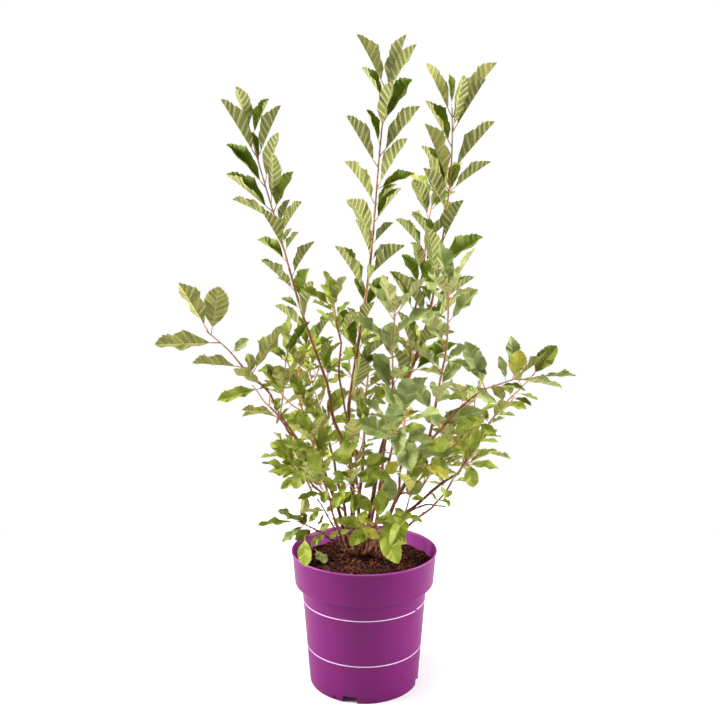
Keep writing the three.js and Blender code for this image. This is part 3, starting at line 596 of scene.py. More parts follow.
SOCKETS = {
    "geometry": "NodeSocketGeometry",
    "number": "NodeSocketFloat",
    "whole": "NodeSocketInt",
    "object": "NodeSocketObject",
    "material": "NodeSocketMaterial",
    "colour": "NodeSocketColor",
}


def growing_tree(name, **inputs):
    """A Geometry Nodes tree with these named inputs. Gives the tree, its inputs and its result's socket."""
    tree = bpy.data.node_groups.new(name, "GeometryNodeTree")
    tree.interface.new_socket(name="Geometry", in_out="INPUT", socket_type=SOCKETS["geometry"])
    for label, kind in inputs.items():
        tree.interface.new_socket(name=label, in_out="INPUT", socket_type=SOCKETS[kind])
    tree.interface.new_socket(name="Geometry", in_out="OUTPUT", socket_type=SOCKETS["geometry"])
    given = tree.nodes.new("NodeGroupInput").outputs
    return tree, given, tree.nodes.new("NodeGroupOutput").inputs[0]


# Meshes

def link_object(name, data):
    """An object in the scene that holds a mesh, a light or a camera."""
    thing = bpy.data.objects.new(name, data)
    bpy.context.scene.collection.objects.link(thing)
    return thing


def mesh_of(name, points, faces, edges=()):
    mesh = bpy.data.meshes.new(name)
    mesh.from_pydata([tuple(p) for p in points], list(edges), faces)
    mesh.update()
    return mesh


def mesh_from(name, shape):
    """A mesh with what an edit mesh holds. The edit mesh goes."""
    mesh = bpy.data.meshes.new(name)
    shape.to_mesh(mesh)
    shape.free()
    return mesh


def note(mesh, name, values, kind="FLOAT", domain="POINT"):
    """Stores values on a mesh under a name."""
    attribute = mesh.attributes.new(name, kind, domain)
    key = "vector" if kind == "FLOAT_VECTOR" else "value"
    attribute.data.foreach_set(key, np.asarray(values).ravel())


def on_circle(radius, count):
    """Places spaced evenly round a circle, as x and y."""
    turns = [2 * math.pi * i / count for i in range(count)]
    return [(radius * math.cos(a), radius * math.sin(a)) for a in turns]


def shaped_mesh(thing):
    """The plain mesh that a thing's modifiers make of it."""
    depsgraph = bpy.context.evaluated_depsgraph_get()
    return bpy.data.meshes.new_from_object(thing.evaluated_get(depsgraph), depsgraph=depsgraph)


def settle(thing):
    """Makes what a thing's modifiers do to it permanent."""
    mesh = shaped_mesh(thing)
    thing.modifiers.clear()
    thing.data = mesh


# What the trees read from a mesh, and the finished piece has no use for
SPENT = ("way", "face", "wide", "reach", "curl", "fold", "phase", "broad", "twist", "bend", "blade", "under",
         "vein", "girth")


def grown(thing, tree, name, **values):
    """The plain mesh that a tree makes of a thing, as a new object. The thing itself goes."""
    modifier = thing.modifiers.new(tree.name, "NODES")
    modifier.node_group = tree
    sockets = {s.name: s.identifier for s in tree.interface.items_tree if s.in_out == "INPUT"}
    for label, value in values.items():
        modifier[sockets[label]] = value
    thing.update_tag()
    bpy.context.view_layer.update()
    mesh = shaped_mesh(thing)
    for attribute in [a.name for a in mesh.attributes if a.name in SPENT]:
        mesh.attributes.remove(mesh.attributes[attribute])
    bpy.data.objects.remove(thing)
    mesh.name = name
    return link_object(name, mesh)


# Materials

def make_mottle():
    """A shader group: two colours mixed by soft spots, with a slight grain."""
    tree = bpy.data.node_groups.new("mottle", "ShaderNodeTree")
    for label in ("Ground", "Spots"):
        tree.interface.new_socket(name=label, in_out="INPUT", socket_type=SOCKETS["colour"])
    for label in ("Size", "Amount", "Grain"):
        tree.interface.new_socket(name=label, in_out="INPUT", socket_type=SOCKETS["number"])
    for label, kind in (("Color", "colour"), ("Grain", "number")):
        tree.interface.new_socket(name=label, in_out="OUTPUT", socket_type=SOCKETS[kind])
    given = tree.nodes.new("NodeGroupInput").outputs
    results = tree.nodes.new("NodeGroupOutput").inputs
    where = add(tree, "ShaderNodeTexCoord").outputs["Object"]
    spots = add(tree, "ShaderNodeTexNoise", {"Vector": where, "Scale": given["Size"], "Detail": 3.0})
    grain = add(tree, "ShaderNodeTexNoise", {"Vector": where, "Scale": given["Grain"], "Detail": 2.0})
    spread = add(tree, "ShaderNodeMapRange", {0: spots.outputs[0], 1: 0.35, 2: 0.65})
    amount = figure(tree, "MULTIPLY", spread.outputs[0], given["Amount"])
    mix = add(tree, "ShaderNodeMix", {0: amount, 6: given["Ground"], 7: given["Spots"]}, data_type="RGBA")
    tree.links.new(mix.outputs[2], results["Color"])
    tree.links.new(grain.outputs[0], results["Grain"])
    return tree


MOTTLE = make_mottle()


def finish_of(name, ground, spots, size=60.0, amount=0.6, grain=900.0, roughness=0.5, relief=0.2,
              depth=0.0003, specular=0.5):
    """A material of two mottled colours with a fine relief."""
    material = bpy.data.materials.new(name)
    material.use_nodes = True
    tree = material.node_tree
    shader = tree.nodes["Principled BSDF"]
    values = dict(Ground=colour(ground), Spots=colour(spots), Size=size, Amount=amount, Grain=grain)
    mottle = add(tree, "ShaderNodeGroup", node_tree=MOTTLE)
    for label, value in values.items():
        mottle.inputs[label].default_value = value
    tree.links.new(mottle.outputs["Color"], shader.inputs["Base Color"])
    bump = add(tree, "ShaderNodeBump",
               {"Strength": relief, "Distance": depth, "Height": mottle.outputs["Grain"]})
    tree.links.new(bump.outputs[0], shader.inputs["Normal"])
    shader.inputs["Roughness"].default_value = roughness
    shader.inputs["Specular IOR Level"].default_value = specular
    material.diffuse_color = colour(ground)
    return material


# Leaves: each tone has two colours for the upper face, two for the under face and two for the veins that
# stripe it, how broad a leaf is, and how wavy. The vein colours are lighter and go on every other pleat facet
# of the under face, so they are partly pale veins and partly painted light.
TONES = {
    "sage": (("#738422", "#607318"), ("#86884a", "#797b3e"), ("#b2b27c", "#a7a770"), 0.9, 0.16),
    "olive": (("#889236", "#747f2a"), ("#999850", "#8b8a44"), ("#b2b174", "#a6a568"), 0.8, 0.24),
    "blue": (("#909c5c", "#7d8b49"), ("#9fa062", "#919254"), ("#b5b57c", "#a9a86f"), 0.88, 0.22),
    "fresh": (("#9ca742", "#8b9934"), ("#a3a158", "#96944c"), ("#b9b776", "#adaa69"), 0.9, 0.18),
    "yellow": (("#b9b348", "#aaa43c"), ("#b2af5a", "#a4a24c"), ("#c2bf74", "#b5b266"), 0.95, 0.15),
}

# A leaf blade, in parts of its length. Each vein's stripe is a pale vein with painted light on the pleat
# facet that faces one way, and it takes VEIN_SHARE of its strip.
VEINS = 8
VEIN_SHARE = 0.34
BLADE_FOOT = 0.16
VEIN_SLANT = 0.19
TOOTH = 0.035
TOOTH_FORWARD = 0.01
PLEAT = 0.007
BLADE_HALF_THICKNESS = 0.003


def outline(v):
    """Half width of a blade, from its foot at 0 to its tip at 1."""
    return (v ** 1.02 * (1 - v) ** 0.78) / (0.567 ** 1.02 * 0.433 ** 0.78)


def template_mesh(name, points, faces, under, vein):
    """A mesh with what the leaf tree reads: each point's flat place, the under faces and those of veins,
    whose lighter colour is partly pale vein and partly painted light.
    """
    mesh = mesh_of(name, points, faces)
    note(mesh, "blade", points, "FLOAT_VECTOR")
    note(mesh, "under", under, "BOOLEAN", "FACE")
    note(mesh, "vein", vein, "BOOLEAN", "FACE")
    return mesh


def blade_template():
    """One leaf blade in its own length: a pleated upper and under sheet that meet at a toothed edge."""
    points = [(0, BLADE_FOOT, 0)]
    rows = [[0, 0, 0, 0]]
    for r in range(1, 2 * VEINS):
        u = (r // 2 + (1 - VEIN_SHARE) * (r % 2)) / VEINS
        ridge = 1 if r % 2 else -1
        arch = math.sin(math.pi * u)
        v = u + VEIN_SLANT * arch
        along = BLADE_FOOT + (1 - BLADE_FOOT) * u
        half = LEAF_WIDTH / 2 * outline(v) * (1 + ridge * TOOTH * min(1, 2 * u))
        reach = BLADE_FOOT + (1 - BLADE_FOOT) * (v + ridge * TOOTH_FORWARD * min(1, 3 * (1 - u)))
        first = len(points)
        points += [(0, along, BLADE_HALF_THICKNESS), (0, along, -BLADE_HALF_THICKNESS),
                   (-half, reach, ridge * PLEAT * arch), (half, reach, ridge * PLEAT * arch)]
        rows.append([first, first + 1, first + 2, first + 3])
    points.append((0, 1, 0))
    rows.append([len(points) - 1] * 4)
    faces, under, vein = [], [], []
    for r, ((top, base, left, right), (top2, base2, left2, right2)) in enumerate(zip(rows, rows[1:])):
        for face, is_under in (((left, top, top2, left2), False), ((right, right2, top2, top), False),
                               ((left, left2, base2, base), True), ((right, base, base2, right2), True)):
            faces.append(tuple(dict.fromkeys(face)))
            under.append(is_under)
            # The narrow under facets all face one way across their pleats and take the lighter vein colour,
            # which is partly pale vein and partly painted light
            vein.append(is_under and r % 2 == 1)
    mesh = template_mesh("blade", points, faces, under, vein)
    note(mesh, "sharp_edge", [True] * len(mesh.edges), "BOOLEAN", "EDGE")
    return link_object("blade_template", mesh)


def rod_template(name, stations, sides):
    """A closed tapered rod along a leaf's length: its stalk and its midrib. Each station is along, out of
    the face, and thickness."""
    points, faces = [], []
    for s, z, r in stations:
        for k in range(sides):
            a = 2 * math.pi * (k + 0.5) / sides
            points.append((r * math.cos(a), s, z + r * math.sin(a)))
    for i in range(len(stations) - 1):
        for k in range(sides):
            a, b = i * sides + k, i * sides + (k + 1) % sides
            faces.append((a, a + sides, b + sides, b))
    faces.append(tuple(range(sides)))
    faces.append(tuple(reversed(range(len(points) - sides, len(points)))))
    stalk = [i < sides or i == len(faces) - 2 for i in range(len(faces))]
    return link_object(name, template_mesh(name, points, faces, stalk, [False] * len(faces)))


def make_leaf_tree():
    """Bends a flat template along every leaf: its curl, fold, twist, side bend and wavy edge."""
    tree, given, result = growing_tree("leaf_spray", Template="object", Wave="number", Upper="material",
                                       Under="material", Vein="material")

    def times(a, b):
        return figure(tree, "MULTIPLY", a, b)

    def plus(a, b):
        return figure(tree, "ADD", a, b)

    real = scattered(tree, given["Geometry"], given["Template"])
    blade = stored(tree, "blade", "FLOAT_VECTOR")
    x, y, z = add(tree, "ShaderNodeSeparateXYZ", {0: blade}).outputs
    reach = stored(tree, "reach")
    fold = stored(tree, "fold")
    far = figure(tree, "ABSOLUTE", x)
    phase = plus(stored(tree, "phase"), times(figure(tree, "SIGN", x), 1.2))
    ripple = times(figure(tree, "SINE", plus(times(y, 17.0), phase)), times(far, given["Wave"]))
    lift = plus(plus(times(far, figure(tree, "SINE", fold)), z), ripple)
    aside = times(times(x, figure(tree, "COSINE", fold)), stored(tree, "broad"))
    turn = times(y, stored(tree, "twist"))
    sine, cosine = figure(tree, "SINE", turn), figure(tree, "COSINE", turn)
    far_along = times(y, y)
    turned_aside = plus(times(aside, cosine), times(far_along, stored(tree, "bend")))
    turned_aside = figure(tree, "SUBTRACT", turned_aside, times(lift, sine))
    turned_lift = plus(times(lift, cosine), times(aside, sine))
    turned_lift = figure(tree, "SUBTRACT", turned_lift, times(far_along, stored(tree, "curl")))
    here = add(tree, "GeometryNodeInputPosition").outputs[0]
    place = vector_figure(tree, "SUBTRACT", here, blade)
    for direction, amount in (("way", y), ("wide", turned_aside), ("face", turned_lift)):
        step = vector_figure(tree, "SCALE", stored(tree, direction, "FLOAT_VECTOR"), times(amount, reach))
        place = vector_figure(tree, "ADD", place, step)
    moved = add(tree, "GeometryNodeSetPosition", {"Geometry": real, "Position": place})
    last = clad(tree, smoothed(tree, moved.outputs[0]), given["Upper"])
    # The vein faces get the lighter finish, which is partly painted light
    for label in ("Under", "Vein"):
        last = clad(tree, last, given[label], stored(tree, label.lower(), "BOOLEAN"))
    tree.links.new(last, result)
    return tree


def spray(name, leaves, tree, template, wave, *finishes):
    """All leaves of one kind as one mesh."""
    mesh = mesh_of(name, [leaf["root"] * MM for leaf in leaves], [])
    for label, key in (("way", "d"), ("face", "n"), ("wide", "w")):
        note(mesh, label, [leaf[key] for leaf in leaves], "FLOAT_VECTOR")
    note(mesh, "reach", [leaf["length"] * MM for leaf in leaves])
    note(mesh, "fold", [math.radians(leaf["fold"]) for leaf in leaves])
    for label in ("curl", "phase", "broad", "twist", "bend"):
        note(mesh, label, [leaf[label] for leaf in leaves])
    return grown(link_object(name, mesh), tree, name, Template=template, Wave=wave,
                 **dict(zip(("Upper", "Under", "Vein"), finishes)))


# Limbs
JOINT_REACH = 2.2
FOOT_FLARE = 1.5


def make_limb_tree():
    """A round limb along every line, with the relief of its bark."""
    tree, given, result = growing_tree("limb", Sides="whole", Relief="number", Grain="number",
                                       Bark="material")
    curve = add(tree, "GeometryNodeMeshToCurve", {"Mesh": given["Geometry"]})
    circle = add(tree, "GeometryNodeCurvePrimitiveCircle", {"Resolution": given["Sides"], "Radius": 1.0},
                 mode="RADIUS")
    girth = stored(tree, "girth")
    tube = add(tree, "GeometryNodeCurveToMesh",
               {"Curve": curve.outputs[0], "Profile Curve": circle.outputs[0], "Scale": girth,
                "Fill Caps": True})
    here = add(tree, "GeometryNodeInputPosition").outputs[0]
    rough = add(tree, "ShaderNodeTexNoise",
                {"Vector": here, "Scale": given["Grain"], "Detail": 3.0, "Roughness": 0.6})
    height = figure(tree, "MULTIPLY", figure(tree, "SUBTRACT", rough.outputs[0], 0.5), given["Relief"])
    height = figure(tree, "MULTIPLY", height, girth)
    normal = add(tree, "GeometryNodeInputNormal").outputs[0]
    offset = vector_figure(tree, "SCALE", normal, height)
    moved = add(tree, "GeometryNodeSetPosition", {"Geometry": tube.outputs[0], "Offset": offset})
    tree.links.new(clad(tree, smoothed(tree, moved.outputs[0]), given["Bark"]), result)
    return tree


def limb_lines(name, limbs):
    """Every limb's centre line in one mesh, with its girth at each point."""
    points, edges, girths = [], [], []
    for line, radii in limbs:
        first = len(points)
        points += [p * MM for p in line]
        girths += [r * MM for r in radii]
        edges += [(first + i, first + i + 1) for i in range(len(line) - 1)]
    mesh = mesh_of(name, points, [], edges)
    note(mesh, "girth", girths)
    return link_object(name, mesh)


def limb_along(path, r0, r1, step, joints=(), swell=0.18, foot=None):
    """A line along a path with a slight swelling at every joint."""
    count = max(3, int(path.length / step))
    stations = sorted(set([i / count for i in range(count + 1)] + [t for t in joints if 0.01 < t < 0.99]))
    line = [path.at(t) for t in stations]
    radii = []
    for t in stations:
        near = min([abs(t - j) * path.length for j in joints], default=99)
        radii.append((r0 + (r1 - r0) * t) * (1 + swell * math.exp(-(near / JOINT_REACH) ** 2)))
    if foot is not None:
        line.insert(0, foot)
        radii.insert(0, r0 * FOOT_FLARE)
    return line, radii


# The plant

# Leaves placed one by one: root, tip, where the face looks, tone, breadth, and the curl where it isn't the
# usual one. The first FRONT_LEAVES stand out at the front, and have only the part FLAT of their fold and
# twist.
FRONT_LEAVES = 23
FLAT = 0.45
USUAL_CURL = 0.05
ACCENTS = (
    ((17.7, -60, 271.6), (52, -98, 227.5), (0.35, -0.95, 0.35), "fresh", 0.98, 0.1),
    ((16.6, -58, 272.3), (66, -72, 273.5), (0.1, -0.6, 0.9), "fresh", 1.05, 0.1),
    ((-9, -66, 270), (20.8, -80, 257), (-0.1, -0.8, 0.8), "yellow", 0.95, 0.08),
    ((-6.9, -62, 267), (-33.3, -72, 280.5), (0.1, -0.6, 0.9), "fresh", 1.2, 0.1),
    ((-9, -60, 271.6), (2.5, -66, 293), (0, -0.8, 0.5), "fresh", 1.2),
    ((-87.2, -86, 263), (-88.7, -114, 227.4), (-0.2, -0.9, 0.4), "fresh", 0.95, 0.12),
    ((-56.6, -50, 254.7), (-81, -62, 240.5), (0.2, -0.7, 0.6), "olive", 0.8, 0.1),
    ((-79.5, 25, 202), (-60.3, -10, 192.5), (0.1, -0.2, 1), "blue", 1.0, 0.04),
    ((29.2, -70, 384.6), (2.9, -84, 370.6), (-0.1, -0.7, 0.8), "fresh", 1.2),
    ((50.9, -80, 376), (32, -92, 357), (-0.2, -0.9, 0.5), "yellow", 1.35),
    ((29.8, -62, 354.4), (43.3, -78, 314), (0.3, -1, 0.3), "blue", 1.05, 0.08),
    ((56.2, -60, 322), (85.2, -70, 333), (0, -1, 0.4), "blue", 1.4),
    ((82.3, -100, 395), (119.6, -112, 409.3), (0, -0.8, 0.7), "fresh", 1.35, 0.08),
    ((-17.9, -70, 326.6), (10.1, -86, 299.2), (-0.3, -0.8, 0.6), "olive", 0.95),
    ((-11.4, -80, 333.5), (-44.6, -92, 309.2), (-0.4, -0.3, 0.9), "sage", 0.9, 0.15),
    ((-10.9, -75, 335.4), (20.2, -90, 366.4), (-0.3, -0.9, 0.4), "fresh", 1.0),
    ((83.3, -80, 366), (124.2, -92, 355.4), (0.2, -0.6, 0.9), "yellow", 0.9, 0.12),
    ((-56.3, -95, 372.7), (-11.7, -110, 406.4), (-0.4, -0.8, 0.7), "olive", 1.05),
    ((-58.7, -85, 347.3), (-80.9, -100, 389.6), (0.2, -0.9, 0.2), "fresh", 0.9),
    ((-83.3, -60, 360), (-106.7, -75, 332.4), (-0.2, -0.9, 0.5), "olive", 1.2, 0.1),
    ((56.5, -122, 455), (62, -134, 502), (0, -1, 0.25), "blue", 1.25, 0.06),
    ((40.3, -142, 428), (41, -130, 466), (-0.1, -1, 0.2), "blue", 1.3, 0.06),
    ((75, -118, 454), (106, -128, 442), (0.1, -0.9, 0.5), "blue", 1.25, 0.06),
    # Top of the middle shoot
    ((30, -28, 912), (-7, -35, 988), (0.75, 0.65, 0.1), "fresh", 0.7, 0.04),
    ((36, -30, 906), (73, -38, 972), (-0.6, 0.8, 0.1), "sage", 0.7),
    ((32, -26, 908), (61, -20, 988), (-0.7, 0.7, 0), "sage", 0.52, 0.04),
    ((26, -22, 902), (-4, -12, 949), (0.65, -0.75, 0.1), "sage", 0.78, 0.1),
    ((27, -32, 850), (37, -46, 921), (-0.4, 0.9, 0), "sage", 0.83, 0.04),
    ((33, -22, 868), (70, -6, 932), (-0.35, -0.9, 0.2), "sage", 1.2),
    ((27, -22, 836), (5, -10, 888), (0.5, -0.8, 0.2), "sage", 0.6, 0.08),
    ((22, -30, 806), (-28, -42, 871), (0.5, 0.8, 0.2), "sage", 0.78, 0.06),
    ((26, -32, 818), (80, -40, 885), (-0.5, 0.8, 0.2), "sage", 0.78),
    ((22, -32, 772), (58, -46, 841), (-0.5, 0.8, 0.2), "sage", 0.78),
    ((24, -20, 772), (73, -10, 796), (-0.2, -0.8, 0.6), "sage", 0.87, 0.1),
    # Top of the right shoot
    ((136, 48, 886), (95, 42, 965), (0.75, 0.65, 0.1), "fresh", 0.57, 0.04),
    ((142, 48, 888), (202, 44, 965), (-0.7, 0.7, 0.2), "fresh", 0.57, 0.06),
    ((138, 50, 864), (184, 40, 942), (-0.8, 0.6, 0.1), "sage", 0.52, 0.04),
    ((138, 44, 862), (149, 28, 945), (0.4, 0.9, 0), "sage", 0.74, 0.04),
    ((136, 52, 905), (134, 62, 954), (0, -1, 0.2), "fresh", 0.61, 0.04),
    ((131, 52, 842), (100, 60, 915), (0.65, -0.75, 0.1), "sage", 0.75, 0.06),
    ((132, 44, 804), (198, 38, 878), (-0.75, 0.6, 0.3), "sage", 0.57, 0.08),
    ((126, 44, 784), (97, 32, 875), (0.8, 0.6, 0.1), "fresh", 0.52, 0.04),
    ((124, 50, 780), (90, 56, 846), (0.75, -0.6, 0.1), "sage", 0.61, 0.06),
    ((128, 42, 778), (192, 36, 820), (-0.4, 0.8, 0.4), "sage", 0.65, 0.1),
    ((128, 52, 778), (149, 62, 818), (-0.2, -0.9, 0.3), "sage", 1.04),
    # Top of the left shoot
    ((-178, 52, 828), (-220, 44, 912), (0.75, 0.65, 0.1), "sage", 0.61, 0.04),
    ((-178, 54, 866), (-195, 48, 933), (0.5, 0.9, 0), "sage", 0.83, 0.04),
    ((-177, 64, 862), (-151, 70, 919), (-0.5, -0.85, 0.1), "sage", 0.75, 0.04),
    ((-176, 54, 824), (-132, 46, 904), (-0.8, 0.6, 0.1), "sage", 0.61, 0.06),
    ((-174, 62, 814), (-178, 72, 868), (0.2, -0.9, 0.1), "sage", 0.52, 0.04),
    ((-168, 58, 780), (-214, 64, 852), (0.6, -0.8, 0.1), "sage", 0.72, 0.08),
    ((-170, 50, 786), (-136, 40, 862), (-0.6, 0.8, 0.1), "sage", 0.74, 0.04),
    ((-162, 46, 756), (-138, 34, 828), (0.2, 0.95, 0.1), "sage", 0.83, 0.04),
    ((-153, 56, 745), (-117, 68, 808), (-0.3, -0.9, 0.3), "sage", 1.1, 0.06),
    ((-158, 54, 742), (-214, 50, 804), (0.6, -0.75, 0.3), "sage", 0.7, 0.08),
    # End of the left bough
    ((-222, -38, 545), (-309, -52, 545), (0.1, 0.9, 0.45), "olive", 0.75, 0.03),
    ((-234, -40, 560), (-268, -48, 634), (0.5, 0.8, 0.2), "olive", 0.84),
    ((-230, -38, 555), (-216, -34, 626), (-0.2, 0.95, 0.1), "olive", 1.14),
    ((-182, -26, 507), (-257, -38, 517), (0.1, 0.8, 0.6), "olive", 0.7),
    ((-200, -32, 530), (-172, -44, 547), (0.3, -0.8, 0.5), "blue", 0.97),
    ((-166, -20, 495), (-122, -38, 570), (-0.5, 0.8, 0.3), "olive", 0.66),
    ((-166, -22, 494), (-172, -30, 526), (0, 0.95, 0.2), "olive", 0.97, 0.04),
    ((-152, -14, 474), (-222, -34, 457), (0.1, -0.5, 0.9), "fresh", 0.66, 0.06),
    ((-126, -4, 424), (-187, -16, 443), (0, 0.7, 0.7), "olive", 0.62, 0.08),
    ((-160, -28, 474), (-196, -42, 506), (0.3, 0.8, 0.4), "olive", 0.7),
    ((-118, -28, 468), (-128, -38, 508), (0.2, 0.9, 0.1), "olive", 1.06),
    ((-119, -24, 515), (-85, -36, 576), (-0.5, -0.7, 0.4), "sage", 0.53, 0.06),
    # Low at the left
    ((-108, -33, 266), (-164, -36, 265), (0, -0.3, 0.9), "olive", 0.5, 0.04),
    ((-106, -30, 276), (-131, -38, 288), (0, -0.5, 0.8), "blue", 0.8),
    ((-107, -28, 276), (-89, -34, 305), (0.3, 0.8, 0.3), "sage", 0.8),
    ((-96, -36, 258), (-127, -46, 240), (-0.1, -0.7, 0.6), "blue", 0.9, 0.06),
    ((-88, -36, 262), (-71, -42, 286), (0.3, -0.6, 0.5), "olive", 0.7),
    ((-75, -30, 255), (-64, -36, 278), (0.5, -0.6, 0.4), "olive", 0.6),
    ((-51, -46, 287), (-100, -54, 289), (0, 0.6, 0.8), "fresh", 0.7),
    ((-95, -13, 253), (-112, -25, 274), (0.1, 0.7, 0.5), "sage", 0.9),
    ((-94, -11, 250), (-101, -23, 270), (0, -0.8, 0.4), "olive", 0.9),
    ((-91, -11, 252), (-99, -23, 278), (0.3, -0.7, 0.5), "sage", 0.8),
    ((-92, -14, 246), (-108, -26, 238), (0, -0.8, 0.4), "olive", 0.9),
    ((-100, -14, 251), (-118, -26, 238), (0, -0.7, 0.6), "sage", 0.8),
    ((-68, 0, 244), (-55, -12, 256), (0, -0.8, 0.4), "fresh", 0.9),
    ((-40, -28, 253), (-53, -40, 243), (0, -0.8, 0.4), "fresh", 0.8),
    ((-19, 22, 238), (-48, 8, 232), (0, -0.7, 0.7), "fresh", 0.6),
    # Before the stems
    ((-9, -75, 332), (-46, -87, 309), (-0.3, 0.7, 0.5), "sage", 0.6, -0.1),
    ((-15, -80, 330), (-38, -92, 312), (0, -0.8, 0.4), "olive", 1.1),
    ((-19, 19, 281), (24, 6, 275), (0, -0.7, 0.7), "yellow", 0.65),
    ((-27, -40, 357), (-46, -52, 373), (0, -0.8, 0.5), "yellow", 0.8),
    ((-91, 96, 322), (-137, 84, 306), (0.1, -0.6, 0.7), "olive", 0.5, 0.06),
    ((-112, -14, 338), (-128, -26, 316), (-0.2, -0.8, 0.4), "fresh", 0.85),
    ((-87, 97, 312), (-71, 85, 292), (0.1, -0.8, 0.4), "fresh", 1.1),
    ((-62, -61, 322), (-98, -73, 315), (0, -0.5, 0.8), "olive", 0.6, 0.12),
    ((-58, -61, 325), (-58, -73, 308), (0, -0.9, 0.3), "olive", 1.2),
    ((-30, 61, 252), (-48, 49, 234), (0, -0.8, 0.5), "blue", 1.1),
    ((-12, -78, 347), (-45, -90, 355), (0, -0.8, 0.5), "olive", 0.85),
    ((30, -34, 341), (0, -46, 324), (0, -0.6, 0.7), "olive", 0.7),
    ((18, 28, 315), (46, 16, 289), (0.1, -0.8, 0.4), "yellow", 1.0),
    ((39, -2, 280), (31, -14, 266), (0, -0.9, 0.3), "blue", 1.2),
    ((48, -3, 283), (63, -15, 268), (0, -0.9, 0.3), "olive", 1.2),
    ((136, -52, 344), (102, -64, 372), (0.1, -0.7, 0.6), "olive", 0.8),
    ((10, -40, 378), (-30, -52, 372), (0, -0.4, 0.9), "olive", 0.55, 0.04),
    ((8, -36, 366), (-24, -48, 356), (0, -0.5, 0.8), "olive", 0.6, 0.04),
    ((88, -23, 368), (47, -35, 354), (0, 0.5, 0.8), "sage", 0.65, 0.04),
    ((6, -6, 258), (-10, -18, 272), (0, -0.8, 0.5), "blue", 1.0),
    ((-52, -60, 354), (-42, -72, 324), (-0.1, -0.8, 0.3), "olive", 0.75),
    ((-39, 29, 282), (-59, 17, 266), (0, -0.8, 0.4), "olive", 1.0),
    ((-42, 70, 282), (-35, 58, 304), (0, -0.8, 0.3), "yellow", 0.75),
    # End of the right bough
    ((238, -50, 492), (216, -58, 554), (0.5, -0.7, 0.5), "blue", 0.75, 0.06),
    ((219, -60, 488), (227, -66, 534), (0, -0.95, 0.2), "yellow", 1.25, 0.03),
    ((216, -50, 490), (201, -50, 524), (0.4, -0.8, 0.4), "blue", 0.8),
    ((238, -50, 500), (273, -52, 531), (0, 0.6, 0.8), "olive", 0.65),
    ((247, -50, 492), (283, -56, 539), (-0.5, -0.8, 0.3), "olive", 1.05, 0.04),
    ((256, -50, 493), (313, -54, 497), (0, 0.4, 0.9), "olive", 0.65, 0.04),
    ((229, -60, 492), (290, -66, 484), (0, -0.4, 0.9), "blue", 0.65, 0.06),
    ((174, -56, 479), (153, -72, 547), (0.5, -0.8, 0.3), "blue", 0.9, 0.12),
    ((138, -48, 524), (180, -62, 500), (0.2, -0.7, 0.7), "blue", 0.8, 0.08),
    ((199, -62, 485), (236, -68, 479), (0, -0.4, 0.9), "sage", 0.7, 0.12),
    ((219, 35, 444), (206, 30, 471), (0.3, 0.6, 0.6), "fresh", 1.2, 0.04),
    ((218, 30, 441), (164, 10, 466), (0.1, -0.7, 0.7), "blue", 0.65, 0.08),
    ((233, 40, 455), (266, 32, 436), (0.2, -0.8, 0.6), "sage", 1.0),
    ((226, 36, 442), (256, 20, 434), (0, -0.7, 0.7), "fresh", 0.95),
    ((184, -62, 432), (133, -74, 424), (0, -0.75, 0.65), "fresh", 0.85),
    ((178, 30, 410), (208, 20, 396), (0.2, -0.8, 0.5), "fresh", 0.85, 0.08),
    ((152, -60, 412), (147, -70, 385), (-0.2, -0.9, 0.3), "fresh", 1.25),
    ((192, 28, 412), (222, 20, 420), (0, 0.7, 0.7), "olive", 0.65),
    ((155, -60, 378), (161, -70, 330), (0.1, -0.95, 0.2), "fresh", 1.1, 0.06),
    ((168, -55, 366), (200, -62, 361), (0, -0.6, 0.8), "fresh", 0.9, 0.08),
    # Behind the end of the right bough
    ((276, 60, 483), (302, 74, 518), (-0.3, -0.6, 0.7), "olive", 0.95, 0.06),
    ((268, 58, 473), (308, 82, 468), (-0.1, -0.2, 0.95), "olive", 0.9, 0.1),
    ((262, 57, 466), (240, 90, 500), (0.3, -0.4, 0.8), "olive", 1.0, 0.08),
    ((252, 55, 456), (277, 33, 446), (0.2, -0.2, 0.9), "olive", 0.9, 0.06),
    ((246, 54, 450), (234, 94, 462), (0.1, -0.3, 0.9), "olive", 1.0, 0.08),
)
# From this part of a stem on, its leaves are the listed ones
TAKEN = {"centre": 0.69, "right": 0.72, "left_tall": 0.66, "left_long": 0.02, "left_thin": 0.5,
         "left_low": 0.3, "right_arch": 0.3, "right_low": 0.6}
# A leaf this near the wood moves to it, one further off than TWIG_START gets a twig, and FALLEN lies on
# the soil
STALK_REACH = 26
TWIG_START = 4
FALLEN = 7


def accent_leaf(root, tip, face, tone, broad, curl=USUAL_CURL):
    """A leaf from its root to its tip."""
    root, tip, face = (np.array(v, float) for v in (root, tip, face))
    d = unit(tip - root)
    n = unit(face - d * float(face @ d))
    length = float(np.linalg.norm(tip - root))
    return dict(root=root, d=d, n=n, w=np.cross(d, n), length=length, curl=curl, broad=broad, tone=tone)


def leaves_cross(one, other):
    faces, lines, _ = wings_of(one)
    other_faces, other_lines, _ = wings_of(other)
    return meet(lines, other_faces) or meet(other_lines, faces)


def nearest_wood(place):
    """The point of any stem or twig that a leaf at this place would grow from."""
    reach = np.linalg.norm(wood_spots - place, axis=1)
    return wood_spots[np.argmin(reach + 1.5 * np.maximum(0, wood_spots[:, 2] - place[2] + 4))]


def is_taken(shoot, place):
    """Whether a place is beyond the part of a stem that has leaves by the rule."""
    stem = shoot["path"]
    way = stem.end - stem.foot
    return (place - stem.foot) @ way / (way @ way) > TAKEN.get(shoot["name"], 9)


